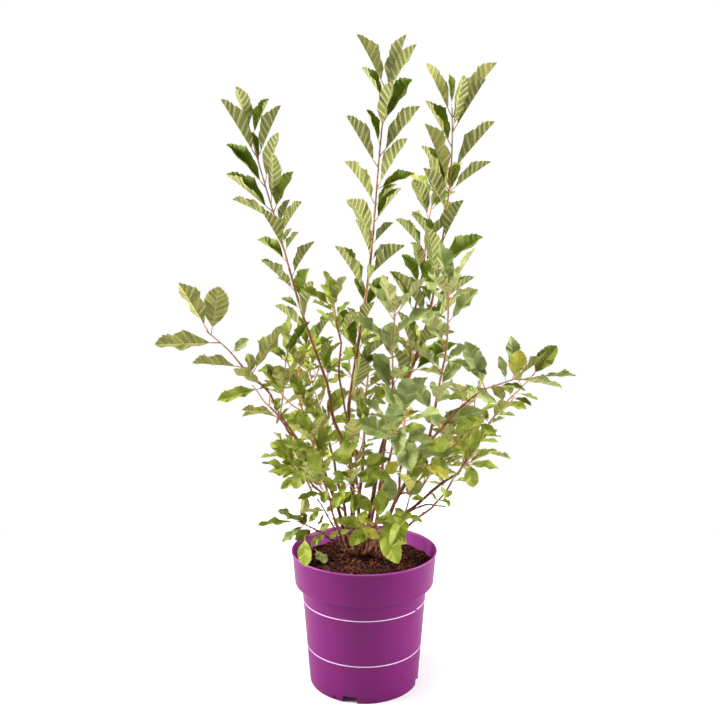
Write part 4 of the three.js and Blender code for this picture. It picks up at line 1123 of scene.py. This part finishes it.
shoots = lay_out()
room = Room(shoots)
growing = [shoot for shoot in shoots if "path" in shoot]
for shoot in growing:
    leaves, twigs = grow(shoot, room)
    shoot["leaves"] = [leaf for leaf in leaves if not is_taken(shoot, leaf["root"])]
    shoot["twigs"] = [twig for twig in twigs if not is_taken(shoot, twig.foot)]
wood_paths = [shoot[key] for shoot in growing for key in ("bough", "path")]
wood_paths += [twig for shoot in growing for twig in shoot["twigs"]]
wood_spots = np.array([path.at(t) for path in wood_paths for t in np.linspace(0.1, 1, 60)])
accents, accent_twigs = [], []
for i, (root, tip, *look) in enumerate(ACCENTS):
    root = np.array(root, float)
    start = nearest_wood(root)
    reach = np.linalg.norm(root - start)
    if i >= FRONT_LEAVES and reach < STALK_REACH:
        root, reach = start, 0
    leaf = accent_leaf(root, tip, *look)
    accents.append(leaf)
    if i != FALLEN and reach > TWIG_START:
        way = unit(root - start - UP * reach * 0.3)
        accent_twigs.append(Path(start, way, root + leaf["d"] * 0.5))
for shoot in growing:
    shoot["leaves"] = [leaf for leaf in shoot["leaves"] if not any(leaves_cross(leaf, a) for a in accents)]
for leaf in accents:
    room.add_leaf(leaf, -1)
for shoot in growing:
    shoot["small"] = [leaf for leaf in grow_finer(shoot, room) if not is_taken(shoot, leaf["root"])]

# Soft leaves turn their faces to the light that they grew in
LIGHT_WAY = unit(np.array([0.1, -0.75, 1.0]))
LEAN = 0.5
# The widest fold of a leaf and how much less it may be, in degrees
UPRIGHT_FOLD = (52, 8)
SOFT_FOLD = (30, 20)
STIFF_FOLD = (44, 10)
BREADTHS = (0.92, 0.16)
SOFT_TWIST = 0.8
STIFF_TWIST = 0.5
BEND_WIDTH = 0.12
UPRIGHT_FROM = 0.6


def finish_leaf(leaf, tone, draw, low=False):
    """Deals a leaf its small differences."""
    soft = tone != "sage"
    if soft and "tone" not in leaf:
        lean = LIGHT_WAY - leaf["d"] * float(LIGHT_WAY @ leaf["d"])
        leaf["n"] = unit(leaf["n"] + LEAN * lean)
        leaf["w"] = np.cross(leaf["d"], leaf["n"])
    leaf["phase"] = draw() * 2 * math.pi
    upright = leaf["d"][2] > UPRIGHT_FROM
    widest, less = UPRIGHT_FOLD if upright and not low else SOFT_FOLD if soft else STIFF_FOLD
    leaf["fold"] = ranging(draw, widest, -less)
    leaf["broad"] = leaf.get("broad", TONES[tone][3]) * ranging(draw, *BREADTHS)
    leaf["twist"] = around(draw, SOFT_TWIST if soft else STIFF_TWIST)
    leaf["bend"] = around(draw, BEND_WIDTH)


RED_STALKS = ("right_mid", "orange", "right_arch", "left_long", "front_big")
LOW_STEM_END = 420
TIP_LEAVES = 22
YELLOW_SHARE = 0.07
FRESH_TIP_SHARE = 0.6
OLIVE_SHARE = 0.8
tones = {tone: [] for tone in TONES}
stalks = {"green": [], "red": []}
for shoot in growing:
    draw = seeded(shoot["seed"] + 500)
    low = shoot["path"].end[2] < LOW_STEM_END
    for leaf in shoot["leaves"] + shoot["small"]:
        tone = shoot["tone"]
        chance = draw()
        at_tip = np.linalg.norm(leaf["root"] - shoot["path"].end) < TIP_LEAVES
        if low and chance < YELLOW_SHARE:
            tone = "yellow"
        elif tone == "sage" and at_tip and chance < FRESH_TIP_SHARE:
            tone = "fresh"
        elif tone == "olive" and chance > OLIVE_SHARE:
            tone = "fresh"
        finish_leaf(leaf, tone, draw, shoot["tone"] != "sage")
        tones[tone].append(leaf)
        stalks["red" if shoot["name"] in RED_STALKS else "green"].append(leaf)

TALL_SHOOTS_FROM = 600
SIDE_BOUGHS_FROM = 150
draw = seeded(77)
for i, leaf in enumerate(accents):
    x, _, z = leaf["root"]
    finish_leaf(leaf, leaf["tone"], draw, z < TALL_SHOOTS_FROM)
    if i < FRONT_LEAVES:
        leaf["fold"] *= FLAT
        leaf["twist"] *= FLAT
    tones[leaf["tone"]].append(leaf)
    is_red = abs(x) > SIDE_BOUGHS_FROM and z < TALL_SHOOTS_FROM
    stalks["red" if is_red else "green"].append(leaf)

leaf_tree = make_leaf_tree()
blade = blade_template()
RIB_STATIONS = ((0, 0, 0.013), (BLADE_FOOT, -0.001, 0.0105), (0.35, -0.003, 0.0085), (0.6, -0.003, 0.0072),
                (0.8, -0.002, 0.0055), (0.98, -0.001, 0.002))
rib = rod_template("rib_template", RIB_STATIONS, 4)
dull = dict(size=70.0, roughness=0.75, specular=0.08, relief=0.05)
leaf_pieces = []
# The vein finish is lighter than the under face's: pale veins together with painted light on the pleat facets
# that face one way
for tone, (upper, under, vein, _, wave) in TONES.items():
    finishes = [finish_of(f"leaf_{tone}", *upper, size=55.0, roughness=0.55, specular=0.15, relief=0.12),
                finish_of(f"leaf_{tone}_back", *under, **dull),
                finish_of(f"leaf_{tone}_veins_and_painted_light", *vein, **dull)]
    leaf_pieces.append(spray(f"leaves_{tone}", tones[tone], leaf_tree, blade, wave, *finishes))
rib_pieces = []
for kind, midrib, stalk in (("green", ("#b9b868", "#a5a655"), ("#b78a5a", "#a5784a")),
                            ("red", ("#c4b586", "#b3a373"), ("#cc7d6b", "#b66856"))):
    skins = [finish_of(f"midrib_{kind}", *midrib, size=120.0, roughness=0.5),
             finish_of(f"stalk_{kind}", *stalk, size=120.0, roughness=0.5)]
    rib_pieces.append(spray(f"stalks_{kind}", stalks[kind], leaf_tree, rib, 0.0, *skins, skins[0]))
for template in (blade, rib):
    bpy.data.objects.remove(template)

# Wood: old boughs, red-brown stems, orange young stems and dead twigs
OLD_WOOD_RADIUS = 2.9
STEM_TIP_RADIUS = 0.9
TWIG_RADII = (1.3, 0.8)
THIN_TWIG_RADII = (1.1, 0.7)
STEP = 5
STEM_STEP = 6
TWIG_JOINTS = (0.42, 0.69)
DEAD_JOINTS = (0.2, 0.42, 0.63, 0.84, 0.97)
BUD_PLACES = (0.3, 0.44, 0.58, 0.72, 0.86)
BUD_LENGTH = 3.6
STUB_RISE = 5
crown_foot = np.array([CROWN[0], CROWN[1], SOIL_HEIGHT - 4.0])


def stub_foot(shoot):
    """Where a main stem starts inside the root crown."""
    foot = crown_foot * 0.7 + shoot["bough"].foot * 0.3
    foot[2] = SOIL_HEIGHT + STUB_RISE
    return foot


def joints_of(shoot):
    """Where the leaves of a stem stand, as parts of its length."""
    stem = shoot["path"]
    way = (stem.end - stem.foot) / stem.length ** 2
    places = [np.clip((leaf["root"] - stem.foot) @ way, 0, 1) for leaf in shoot["leaves"]]
    return sorted({round(float(t), 3) for t in places})


def buds_on(limb, r0, r1):
    """Short resting buds on the bare part of a limb, by turns to one side and the other."""
    buds = []
    for k, t in enumerate(BUD_PLACES):
        along = limb.heading(t)
        u, v = across(along)
        turn = math.radians(GOLDEN_ANGLE * k + 40)
        out = u * math.cos(turn) + v * math.sin(turn)
        way = unit(along + out * 1.1)
        radius = r0 + (r1 - r0) * t
        thick = 0.55 + 0.25 * radius
        start = limb.at(t)
        tip = start + out * radius + way * BUD_LENGTH
        buds.append(([start, start * 0.35 + tip * 0.65, tip], [thick, thick, thick * 0.3]))
    return buds


old, middle, young, dead = [], [], [], []
for shoot in shoots:
    bough = shoot["bough"]
    r0, r1 = shoot["radii"]
    foot = shoot["origin"] if "parent" in shoot else stub_foot(shoot)
    if "path" not in shoot:
        dead.append(limb_along(bough, r0, r1, STEP, DEAD_JOINTS, swell=0.5, foot=foot))
        dead += buds_on(bough, r0, r1)
        continue
    kind = old if r0 > OLD_WOOD_RADIUS else middle
    line, radii = limb_along(bough, r0, r1, STEP, BUD_PLACES, foot=foot)
    kind += buds_on(bough, r0, r1)
    upper_line, upper_radii = limb_along(shoot["path"], r1, STEM_TIP_RADIUS, STEM_STEP, joints_of(shoot))
    split = len(upper_line) // (3 if kind is old else 2)
    if kind is old:
        kind.append((line + upper_line[:2], radii + upper_radii[:2]))
        middle.append((upper_line[:split + 1], upper_radii[:split + 1]))
    else:
        kind.append((line + upper_line[:split + 1], radii + upper_radii[:split + 1]))
    young.append((upper_line[split:], upper_radii[split:]))
    for twig in shoot["twigs"]:
        young.append(limb_along(twig, *TWIG_RADII, STEP, TWIG_JOINTS))
for twig in accent_twigs:
    young.append(limb_along(twig, *THIN_TWIG_RADII, STEP))

# Each wood: its limbs, how many sides they have, how deep and how fine the relief is, and the bark
limb_tree = make_limb_tree()
barks = (
    ("old_wood", old, 14, 0.5, 160.0, "old_bark", ("#6b4635", "#3f281e"),
     dict(size=90.0, amount=0.8, grain=500.0, roughness=0.8, relief=0.7, depth=0.0006, specular=0.2)),
    ("red_stems", middle, 10, 0.25, 220.0, "red_bark", ("#8a563b", "#6b3f2c"),
     dict(size=90.0, grain=700.0, roughness=0.6, relief=0.4, specular=0.25)),
    ("young_stems", young, 8, 0.15, 260.0, "young_bark", ("#b98662", "#a06c4d"),
     dict(size=80.0, relief=0.3, specular=0.25)),
    ("dead_twigs", dead, 8, 0.5, 300.0, "dead_bark", ("#6a493c", "#4c332b"),
     dict(size=120.0, grain=700.0, roughness=0.9, relief=0.6, specular=0.2)),
)
wood = {}
for name, limbs, sides, relief, grain, bark, tints, look in barks:
    wood[name] = grown(limb_lines(name, limbs), limb_tree, name, Sides=sides, Relief=relief, Grain=grain,
                       Bark=finish_of(bark, *tints, **look))


CROWN_HEIGHTS = (0, 7, 12)
CROWN_RADII = (12, 10, 5)
ROOTS = 5
ROOT_TURN = 20
ROOT_SLOPE = -14
ROOT_HEIGHT = 9
ROOT_REACH = (0, 14, 27)
ROOT_RADII = (6, 4.5, 2.5)
STUB_DEPTH = 6
STUB_STEPS = (4, 14, 24)
STUB_GIRTHS = (1.8, 1.6, 1.4, 1.15, 0.9)
SKIN_GRAIN = 0.0012
GROOVES = (260, 260, 60)
GROOVE_DEPTH = 0.002


def make_crown():
    """The root crown: a flared foot, low roots and a stub for each main stem, in one rough skin."""
    limbs = [([crown_foot + UP * h for h in CROWN_HEIGHTS], CROWN_RADII)]
    for i in range(ROOTS):
        way = aim(i * 360 / ROOTS + ROOT_TURN, ROOT_SLOPE)
        limbs.append(([crown_foot + UP * ROOT_HEIGHT + way * reach for reach in ROOT_REACH], ROOT_RADII))
    for shoot in shoots:
        if "parent" in shoot:
            continue
        bough = shoot["bough"]
        line = [stub_foot(shoot), bough.foot - shoot["way"] * STUB_DEPTH]
        line += [bough.at(step / bough.length) for step in STUB_STEPS]
        limbs.append((line, [shoot["radii"][0] * girth for girth in STUB_GIRTHS]))
    bark = finish_of("crown_bark", "#94684a", "#3f291d", size=75.0, amount=1.0, grain=420.0, roughness=0.85,
                     relief=0.9, depth=0.001, specular=0.15)
    crown = grown(limb_lines("crown_lines", limbs), limb_tree, "root_crown_wood", Sides=14, Relief=0.0,
                  Grain=1.0, Bark=bark)
    remesh = crown.modifiers.new("skin", "REMESH")
    remesh.mode = "VOXEL"
    remesh.voxel_size = SKIN_GRAIN
    remesh.use_smooth_shade = True
    crown.modifiers.new("ease", "SMOOTH").iterations = 2
    settle(crown)
    shaped = bmesh.new()
    shaped.from_mesh(crown.data)
    for vertex in shaped.verts:
        grooved = Vector([part * scale for part, scale in zip(vertex.co, GROOVES)])
        vertex.co += vertex.normal * GROOVE_DEPTH * noise.fractal(grooved, 0.8, 2.0, 3)
        vertex.co.z = max(vertex.co.z, (SOIL_HEIGHT + GAP) * MM)
    bmesh.ops.dissolve_degenerate(shaped, dist=1e-6, edges=shaped.edges)
    shaped.to_mesh(crown.data)
    shaped.free()
    crown.data.materials.clear()
    crown.data.materials.append(bark)
    return crown


crown = make_crown()

# Pot
SEGMENTS = 144
FLOOR_TOP = 14
HUB_RADIUS = 16
FOOT_RING = 4.3
FOOT_ROUNDING = 1.4
COLLAR_ROUNDING = 1.2
LIP_RADIUS = 1.5
LIP_HEIGHT = 211.5
RIBS = 6
RIB_SIZE = (71, 3, 9.4)
RIB_MIDDLE = (50, 0, 7.9)
RIB_TURN = 15
HOLES = 6
HOLE_RADIUS = 5
HOLE_TURN = 45
NOTCHES = 4
NOTCH_TURN = -104.7
NOTCH_SIZE = (20, 22, 20)
SLIT_SIZE = (20, 2.5, 14)
SLIT_OFFSET = 17
# Millimetres. Above the first height the rim's edge is painted lighter as a painted highlight. On the inside,
# the wall from this depth under the soil level upward is painted lighter as painted light.
PAINTED_HIGHLIGHT_HEIGHT = 211.6
PAINTED_LIGHT_DEPTH = 30


def lathe(name, profile):
    """The closed shape that a profile of radius and height makes round the upright axis, on which it
    starts and ends. Millimetres."""
    points, rings = [], []
    for r, z in profile:
        circle = on_circle(r, SEGMENTS) if r else [(0, 0)]
        rings.append([len(points) + i % len(circle) for i in range(SEGMENTS)])
        points += [(x * MM, y * MM, z * MM) for x, y in circle]
    faces = []
    for low, high in zip(rings, rings[1:]):
        for i in range(SEGMENTS):
            j = (i + 1) % SEGMENTS
            faces.append(list(dict.fromkeys([low[i], low[j], high[j], high[i]])))
    return link_object(name, mesh_of(name, points, faces))


def arc(cx, cz, radius, a0, a1, count):
    """Points on an arc of a profile, by angle from outwards to upwards."""
    return [(cx + radius * math.cos(math.radians(a)), cz + radius * math.sin(math.radians(a)))
            for a in np.linspace(a0, a1, count)]


def body_radius(z):
    return FOOT_RADIUS + (BODY_TOP_RADIUS - FOOT_RADIUS) * z / COLLAR_HEIGHT


def collar_radius(z):
    widening = COLLAR_TOP_RADIUS - COLLAR_RADIUS
    return COLLAR_RADIUS + widening * (z - COLLAR_HEIGHT) / (COLLAR_TOP - COLLAR_HEIGHT)


def pot_profile():
    """The outline of the pot's wall: up the outside from the foot, over the rim and down the inside."""
    profile = [(0, 0), (HUB_RADIUS, 0), (HUB_RADIUS, FLOOR_HEIGHT)]
    profile += [(FOOT_RADIUS - FOOT_RING, FLOOR_HEIGHT), (FOOT_RADIUS - FOOT_RING, 0)]
    profile += arc(FOOT_RADIUS - FOOT_ROUNDING, FOOT_ROUNDING, FOOT_ROUNDING, -90, 0, 5)
    profile += [(body_radius(z), z) for z in (20, 60, 100, 140, 157, 159)]
    profile += [(body_radius(159.8) + 0.5, 160.2), (COLLAR_RADIUS - 1.6, COLLAR_HEIGHT + 0.3)]
    profile += arc(COLLAR_RADIUS - COLLAR_ROUNDING, COLLAR_HEIGHT + 1.6, COLLAR_ROUNDING, -80, 0, 4)
    profile += [(collar_radius(z), z) for z in (170, 185, 200, 207, 208.6)]
    profile += [(RIM_RADIUS - 0.6, 209.2)]
    profile += arc(RIM_RADIUS - LIP_RADIUS, LIP_HEIGHT, LIP_RADIUS, -20, 160, 9)
    profile += [(RIM_RADIUS - 3.6, 210.6), (collar_radius(207) - WALL, 208)]
    profile += [(collar_radius(z) - WALL, z) for z in (195, 180, 165)]
    profile += [(BODY_TOP_RADIUS - WALL, COLLAR_HEIGHT - 2), (body_radius(FLOOR_TOP) - WALL, FLOOR_TOP)]
    profile += [(0, FLOOR_TOP)]
    return profile


def block_at(size, middle, turn):
    """A block of this size round this middle, turned about the upright axis. Millimetres."""
    block = bmesh.new()
    bmesh.ops.create_cube(block, size=1)
    place = Matrix.Rotation(math.radians(turn), 4, "Z") @ Matrix.Translation(Vector(middle) * MM)
    block.transform(place @ Matrix.Diagonal((*(s * MM for s in size), 1)))
    return block


def drain_hole(turn):
    hole = bmesh.new()
    radius = HOLE_RADIUS * MM
    bmesh.ops.create_cone(hole, cap_ends=True, segments=24, radius1=radius, radius2=radius, depth=8 * MM)
    place = Matrix.Rotation(math.radians(turn), 4, "Z") @ Matrix.Translation((60 * MM, 0, 13 * MM))
    hole.transform(place)
    return hole


def join_meshes(name, shapes):
    """One object of several edit meshes."""
    joined = bmesh.new()
    for shape in shapes:
        mesh = mesh_from(name, shape)
        joined.from_mesh(mesh)
        bpy.data.meshes.remove(mesh)
    return link_object(name, mesh_from(name, joined))


def carve(thing, operation, cutter):
    """Adds a cutter to a thing or takes it away, for good."""
    step = thing.modifiers.new("carve", "BOOLEAN")
    step.operation = operation
    step.solver = "EXACT"
    step.object = cutter
    settle(thing)
    bpy.data.objects.remove(cutter)


def make_pot():
    """The moulded shell, with ribs under its floor, drain holes, and notches and slits in its foot."""
    pot = lathe("pot_shell", pot_profile())
    ribs = [block_at(RIB_SIZE, RIB_MIDDLE, i * 360 / RIBS + RIB_TURN) for i in range(RIBS)]
    carve(pot, "UNION", join_meshes("foot_ribs", ribs))
    cutters = []
    for i in range(NOTCHES):
        turn = NOTCH_TURN + i * 360 / NOTCHES
        cutters.append(block_at(NOTCH_SIZE, (FOOT_RADIUS, 0, 0), turn))
        cutters.append(block_at(SLIT_SIZE, (FOOT_RADIUS, 0, 0), turn - SLIT_OFFSET))
    cutters += [drain_hole(i * 360 / HOLES + HOLE_TURN) for i in range(HOLES)]
    carve(pot, "DIFFERENCE", join_meshes("foot_cuts", cutters))
    pot.data.shade_smooth()
    pot.data.set_sharp_from_angle(angle=math.radians(35))
    return pot


pot = make_pot()
moulding = dict(size=14.0, amount=0.5, grain=2600.0, relief=0.12, depth=0.0002)
plastic = finish_of("pot_plastic", "#67115a", "#600e53", roughness=0.5, specular=0.13, **moulding)
# A lighter copy of the pot's colour, used for a painted highlight and painted light
painted_light_wall = finish_of("pot_wall_painted_light", "#9c3f90", "#92378a", roughness=0.4, specular=0.2, **moulding)
pot.data.materials.clear()
for finish in (plastic, painted_light_wall):
    pot.data.materials.append(finish)
# Painted light: a lighter copy of the pot's colour on the edge of the rim, as a painted highlight, and on the
# inside of the wall above the soil, as painted light
for face in pot.data.polygons:
    middle = face.center
    inward = face.normal.x * middle.x + face.normal.y * middle.y < 0
    height = middle.z / MM
    face.material_index = int(height > PAINTED_HIGHLIGHT_HEIGHT or inward and SOIL_HEIGHT - PAINTED_LIGHT_DEPTH < height)

BAND_STEPS = 140
BAND_HALF_WIDTH = 0.75
BAND_RELIEF = 0.12
BAND_SINK = -0.05
LINE_SEAM = -36


def line_band(z0, z1, first, last):
    """A raised printed line between two heights and two turns in degrees. Millimetres."""
    points, faces = [], []
    for i in range(BAND_STEPS + 1):
        a = math.radians(first + (last - first) * i / BAND_STEPS)
        for z, out in ((z0, BAND_SINK), (z0, BAND_RELIEF), (z1, BAND_RELIEF), (z1, BAND_SINK)):
            r = (body_radius(z) + out) * MM
            points.append((r * math.cos(a), r * math.sin(a), z * MM))
    for i in range(BAND_STEPS):
        for k in range(4):
            a, b = 4 * i + k, 4 * i + (k + 1) % 4
            faces.append((a, a + 4, b + 4, b))
    faces += [(0, 1, 2, 3), tuple(4 * BAND_STEPS + k for k in (3, 2, 1, 0))]
    return points, faces


def make_lines():
    """Two thin printed lines round the pot's body, each with the seam where its ends meet."""
    points, faces = [], []
    # Each line: its height, how much higher its second part runs, and the gap where they meet
    for z, lift, gap in ((134.6, 0.9, 3.2), (61, 0.5, 0.4)):
        for base, first, last in ((z, LINE_SEAM - 200, LINE_SEAM - gap / 2),
                                  (z + lift, LINE_SEAM + gap / 2, LINE_SEAM + 159)):
            band, band_faces = line_band(base - BAND_HALF_WIDTH, base + BAND_HALF_WIDTH, first, last)
            start = len(points)
            points += band
            faces += [tuple(start + v for v in face) for face in band_faces]
    mesh = mesh_of("printed_lines", points, faces)
    shape = bmesh.new()
    shape.from_mesh(mesh)
    bmesh.ops.recalc_face_normals(shape, faces=shape.faces)
    shape.to_mesh(mesh)
    shape.free()
    mesh.materials.append(finish_of("line_print", "#cdb4cf", "#c0a6c2", size=60.0, roughness=0.45, relief=0.1,
                                    specular=0.3))
    return link_object("printed_lines", mesh)


lines = make_lines()

# Soil
SOIL_BOTTOM = 150
SOIL_SEGMENTS = 180
SOIL_RINGS = 56


def soil_height(x, y):
    """Rough ground that rises a little round the root crown."""
    rough = noise.fractal(Vector((x * 0.045, y * 0.045, 2.0)), 0.9, 2.1, 4)
    fine = noise.fractal(Vector((x * 0.16, y * 0.16, 5.0)), 0.9, 2.1, 3)
    near = math.exp(-((x - CROWN[0]) ** 2 + (y - CROWN[1]) ** 2) / 900)
    return SOIL_HEIGHT + rough * 3.4 + fine * 1.3 + near * 1.5


def make_soil():
    """A closed bed: rings of rough ground round a middle point, and a flat bottom inside the pot."""
    edge = collar_radius(SOIL_HEIGHT) - WALL - 0.2
    places = [(0, 0)]
    for r in range(1, SOIL_RINGS + 1):
        places += on_circle(edge * r / SOIL_RINGS, SOIL_SEGMENTS)
    points = [(x * MM, y * MM, soil_height(x, y) * MM) for x, y in places]
    first = len(points)
    bottom = on_circle(BODY_TOP_RADIUS - 3, SOIL_SEGMENTS) + [(0, 0)]
    points += [(x * MM, y * MM, SOIL_BOTTOM * MM) for x, y in bottom]
    steps = [(i, (i + 1) % SOIL_SEGMENTS) for i in range(SOIL_SEGMENTS)]
    faces = [(0, 1 + i, 1 + j) for i, j in steps]
    for r in range(SOIL_RINGS - 1):
        low, high = 1 + r * SOIL_SEGMENTS, 1 + (r + 1) * SOIL_SEGMENTS
        faces += [(low + i, high + i, high + j, low + j) for i, j in steps]
    last = 1 + (SOIL_RINGS - 1) * SOIL_SEGMENTS
    for i, j in steps:
        faces.append((last + i, first + i, first + j, last + j))
        faces.append((first + i, len(points) - 1, first + j))
    mesh = mesh_of("soil_bed", points, faces)
    mesh.shade_smooth()
    mesh.materials.append(finish_of("potting_mix", "#3c2015", "#22120b", size=160.0, amount=0.9, grain=700.0,
                                    roughness=0.95, relief=0.9, depth=0.001, specular=0.2))
    return link_object("soil_bed", mesh)


soil = make_soil()


def make_litter_tree():
    """Scatters a chip over the soil, each one turned and scaled at random."""
    tree, given, result = growing_tree("litter", Chip="object", Density="number", Smallest="number",
                                       Largest="number", Seed="whole", Look="material")
    seed = given["Seed"]
    points = add(tree, "GeometryNodeDistributePointsOnFaces",
                 {"Mesh": given["Geometry"], "Density": given["Density"], "Seed": seed})
    size = add(tree, "FunctionNodeRandomValue", {2: given["Smallest"], 3: given["Largest"], "Seed": seed})
    turn = add(tree, "FunctionNodeRandomValue",
               {0: (-0.8, -0.8, -3.14), 1: (0.8, 0.8, 3.14), "Seed": seed}, data_type="FLOAT_VECTOR")
    real = scattered(tree, points.outputs[0], given["Chip"], Rotation=turn.outputs[0], Scale=size.outputs[1])
    tree.links.new(clad(tree, real, given["Look"]), result)
    return tree


def chip_template(name, length, width, height, seed):
    """A rough splinter of bark: a dented ball of few faces, drawn out to these half sizes."""
    draw = seeded(seed)
    shape = bmesh.new()
    bmesh.ops.create_icosphere(shape, subdivisions=1, radius=1)
    for vertex in shape.verts:
        rough = 0.75 + 0.5 * draw()
        vertex.co = Vector((vertex.co.x * length, vertex.co.y * width, vertex.co.z * height)) * rough * MM
    return link_object(name, mesh_from(name, shape))


def soil_top():
    """The part of the soil's surface that litter lies on."""
    shape = bmesh.new()
    shape.from_mesh(soil.data)
    low = (SOIL_HEIGHT - 12) * MM
    reach = (collar_radius(SOIL_HEIGHT) - WALL - 5) * MM
    gone = [v for v in shape.verts if v.co.z < low or v.co.xy.length > reach]
    bmesh.ops.delete(shape, geom=gone, context="VERTS")
    return mesh_from("soil_top", shape)


litter_tree = make_litter_tree()
litter = []
# Each kind: a chip's half sizes, how many on a square metre, the least and the most scale, seed, tints
litter_kinds = (
    ("bark_chips_rust", (4.4, 1.6, 0.8), 11000, 0.3, 1.9, 3, ("#863c20", "#632a17")),
    ("bark_chips_dark", (3.8, 2.2, 1.1), 19000, 0.3, 2.0, 5, ("#331b13", "#1b0e09")),
    ("bark_chips_brown", (5.0, 1.3, 0.7), 13000, 0.3, 1.7, 8, ("#60321d", "#431f11")),
    ("bark_chips_tan", (3.8, 1.2, 0.6), 1500, 0.3, 1.6, 14, ("#a87850", "#87583a")),
    ("fibres", (6.5, 0.35, 0.3), 6000, 0.5, 1.6, 11, ("#a06e4a", "#7f4d30")),
)
for name, (length, width, height), density, least, most, seed, tints in litter_kinds:
    chip = chip_template(name + "_template", length, width, height, seed)
    look = finish_of(name, *tints, size=200.0, amount=0.8, roughness=0.9, relief=0.6, specular=0.2)
    top = link_object(name, soil_top())
    litter.append(grown(top, litter_tree, name, Chip=chip, Density=density, Smallest=least, Largest=most,
                        Seed=seed, Look=look))
    bpy.data.objects.remove(chip)

# Each piece stands for its CAD nodes
masses = [shoot["name"] + "_leaves" for shoot in growing]
boughs = [shoot["name"] + "_bough" for shoot in shoots]
pieces = leaf_pieces + rib_pieces + list(wood.values()) + litter + [crown, pot, lines, soil]
for piece in pieces:
    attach(piece, "root")
for piece in leaf_pieces + rib_pieces:
    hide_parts(*masses)
for name, piece in wood.items():
    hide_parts(*boughs)
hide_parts("root_crown")
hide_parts("pot")
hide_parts("soil")

# Floor, light and camera
FLOOR_RADIUS = 1.1
FLOOR_SIDES = 96
ring = [(x, y, 0) for x, y in on_circle(FLOOR_RADIUS, FLOOR_SIDES)]
floor = link_object("floor", mesh_of("floor", ring, [tuple(range(FLOOR_SIDES))]))
floor.data.materials.append(finish_of("pale_floor", "#fbfbfb", "#f8f8f8", size=2.0, roughness=0.9,
                                      relief=0.0, specular=0.0))


def area_light(name, place, target, size, power):
    """A round soft light that looks at a target."""
    lamp = bpy.data.lights.new(name, "AREA")
    lamp.shape = "DISK"
    lamp.size = size
    lamp.energy = power
    holder = link_object(name, lamp)
    holder.location = place
    holder.rotation_euler = (Vector(target) - Vector(place)).to_track_quat("-Z", "Y").to_euler()


area_light("left_softbox", (-2.3, 0, 1.2), (0, 0, 0.4), 1.2, 128)
area_light("right_softbox", (2.3, 0, 1.1), (0, 0, 0.4), 1.2, 108)
area_light("top_softbox", (0, 0, 2.6), (0, 0, 0.4), 1.3, 64)

SKY = 0.21


def make_world():
    """White to the eye, and less bright as a light."""
    world = bpy.data.worlds.new("studio")
    world.use_nodes = True
    tree = world.node_tree
    tree.nodes.clear()
    eye = add(tree, "ShaderNodeLightPath").outputs["Is Camera Ray"]
    strength = figure(tree, "MULTIPLY_ADD", eye, 1 - SKY, SKY)
    glow = add(tree, "ShaderNodeBackground", {"Color": (1, 1, 1, 1), "Strength": strength})
    add(tree, "ShaderNodeOutputWorld", {"Surface": glow.outputs[0]})
    bpy.context.scene.world = world


make_world()
bpy.context.scene.view_settings.view_transform = "Standard"

CAMERA_PLACE = (-0.0066, -1.226, 0.651)
CAMERA_PITCH = 6.46
SENSOR = 36
FOCAL_PIXELS = 800
FRAME_PIXELS = 720
camera = bpy.data.cameras.new("camera")
camera.sensor_width = SENSOR
camera.lens = SENSOR * FOCAL_PIXELS / FRAME_PIXELS
camera_holder = link_object("camera", camera)
camera_holder.location = CAMERA_PLACE
camera_holder.rotation_euler = Euler((math.radians(90 - CAMERA_PITCH), 0, 0))
bpy.context.scene.camera = camera_holder
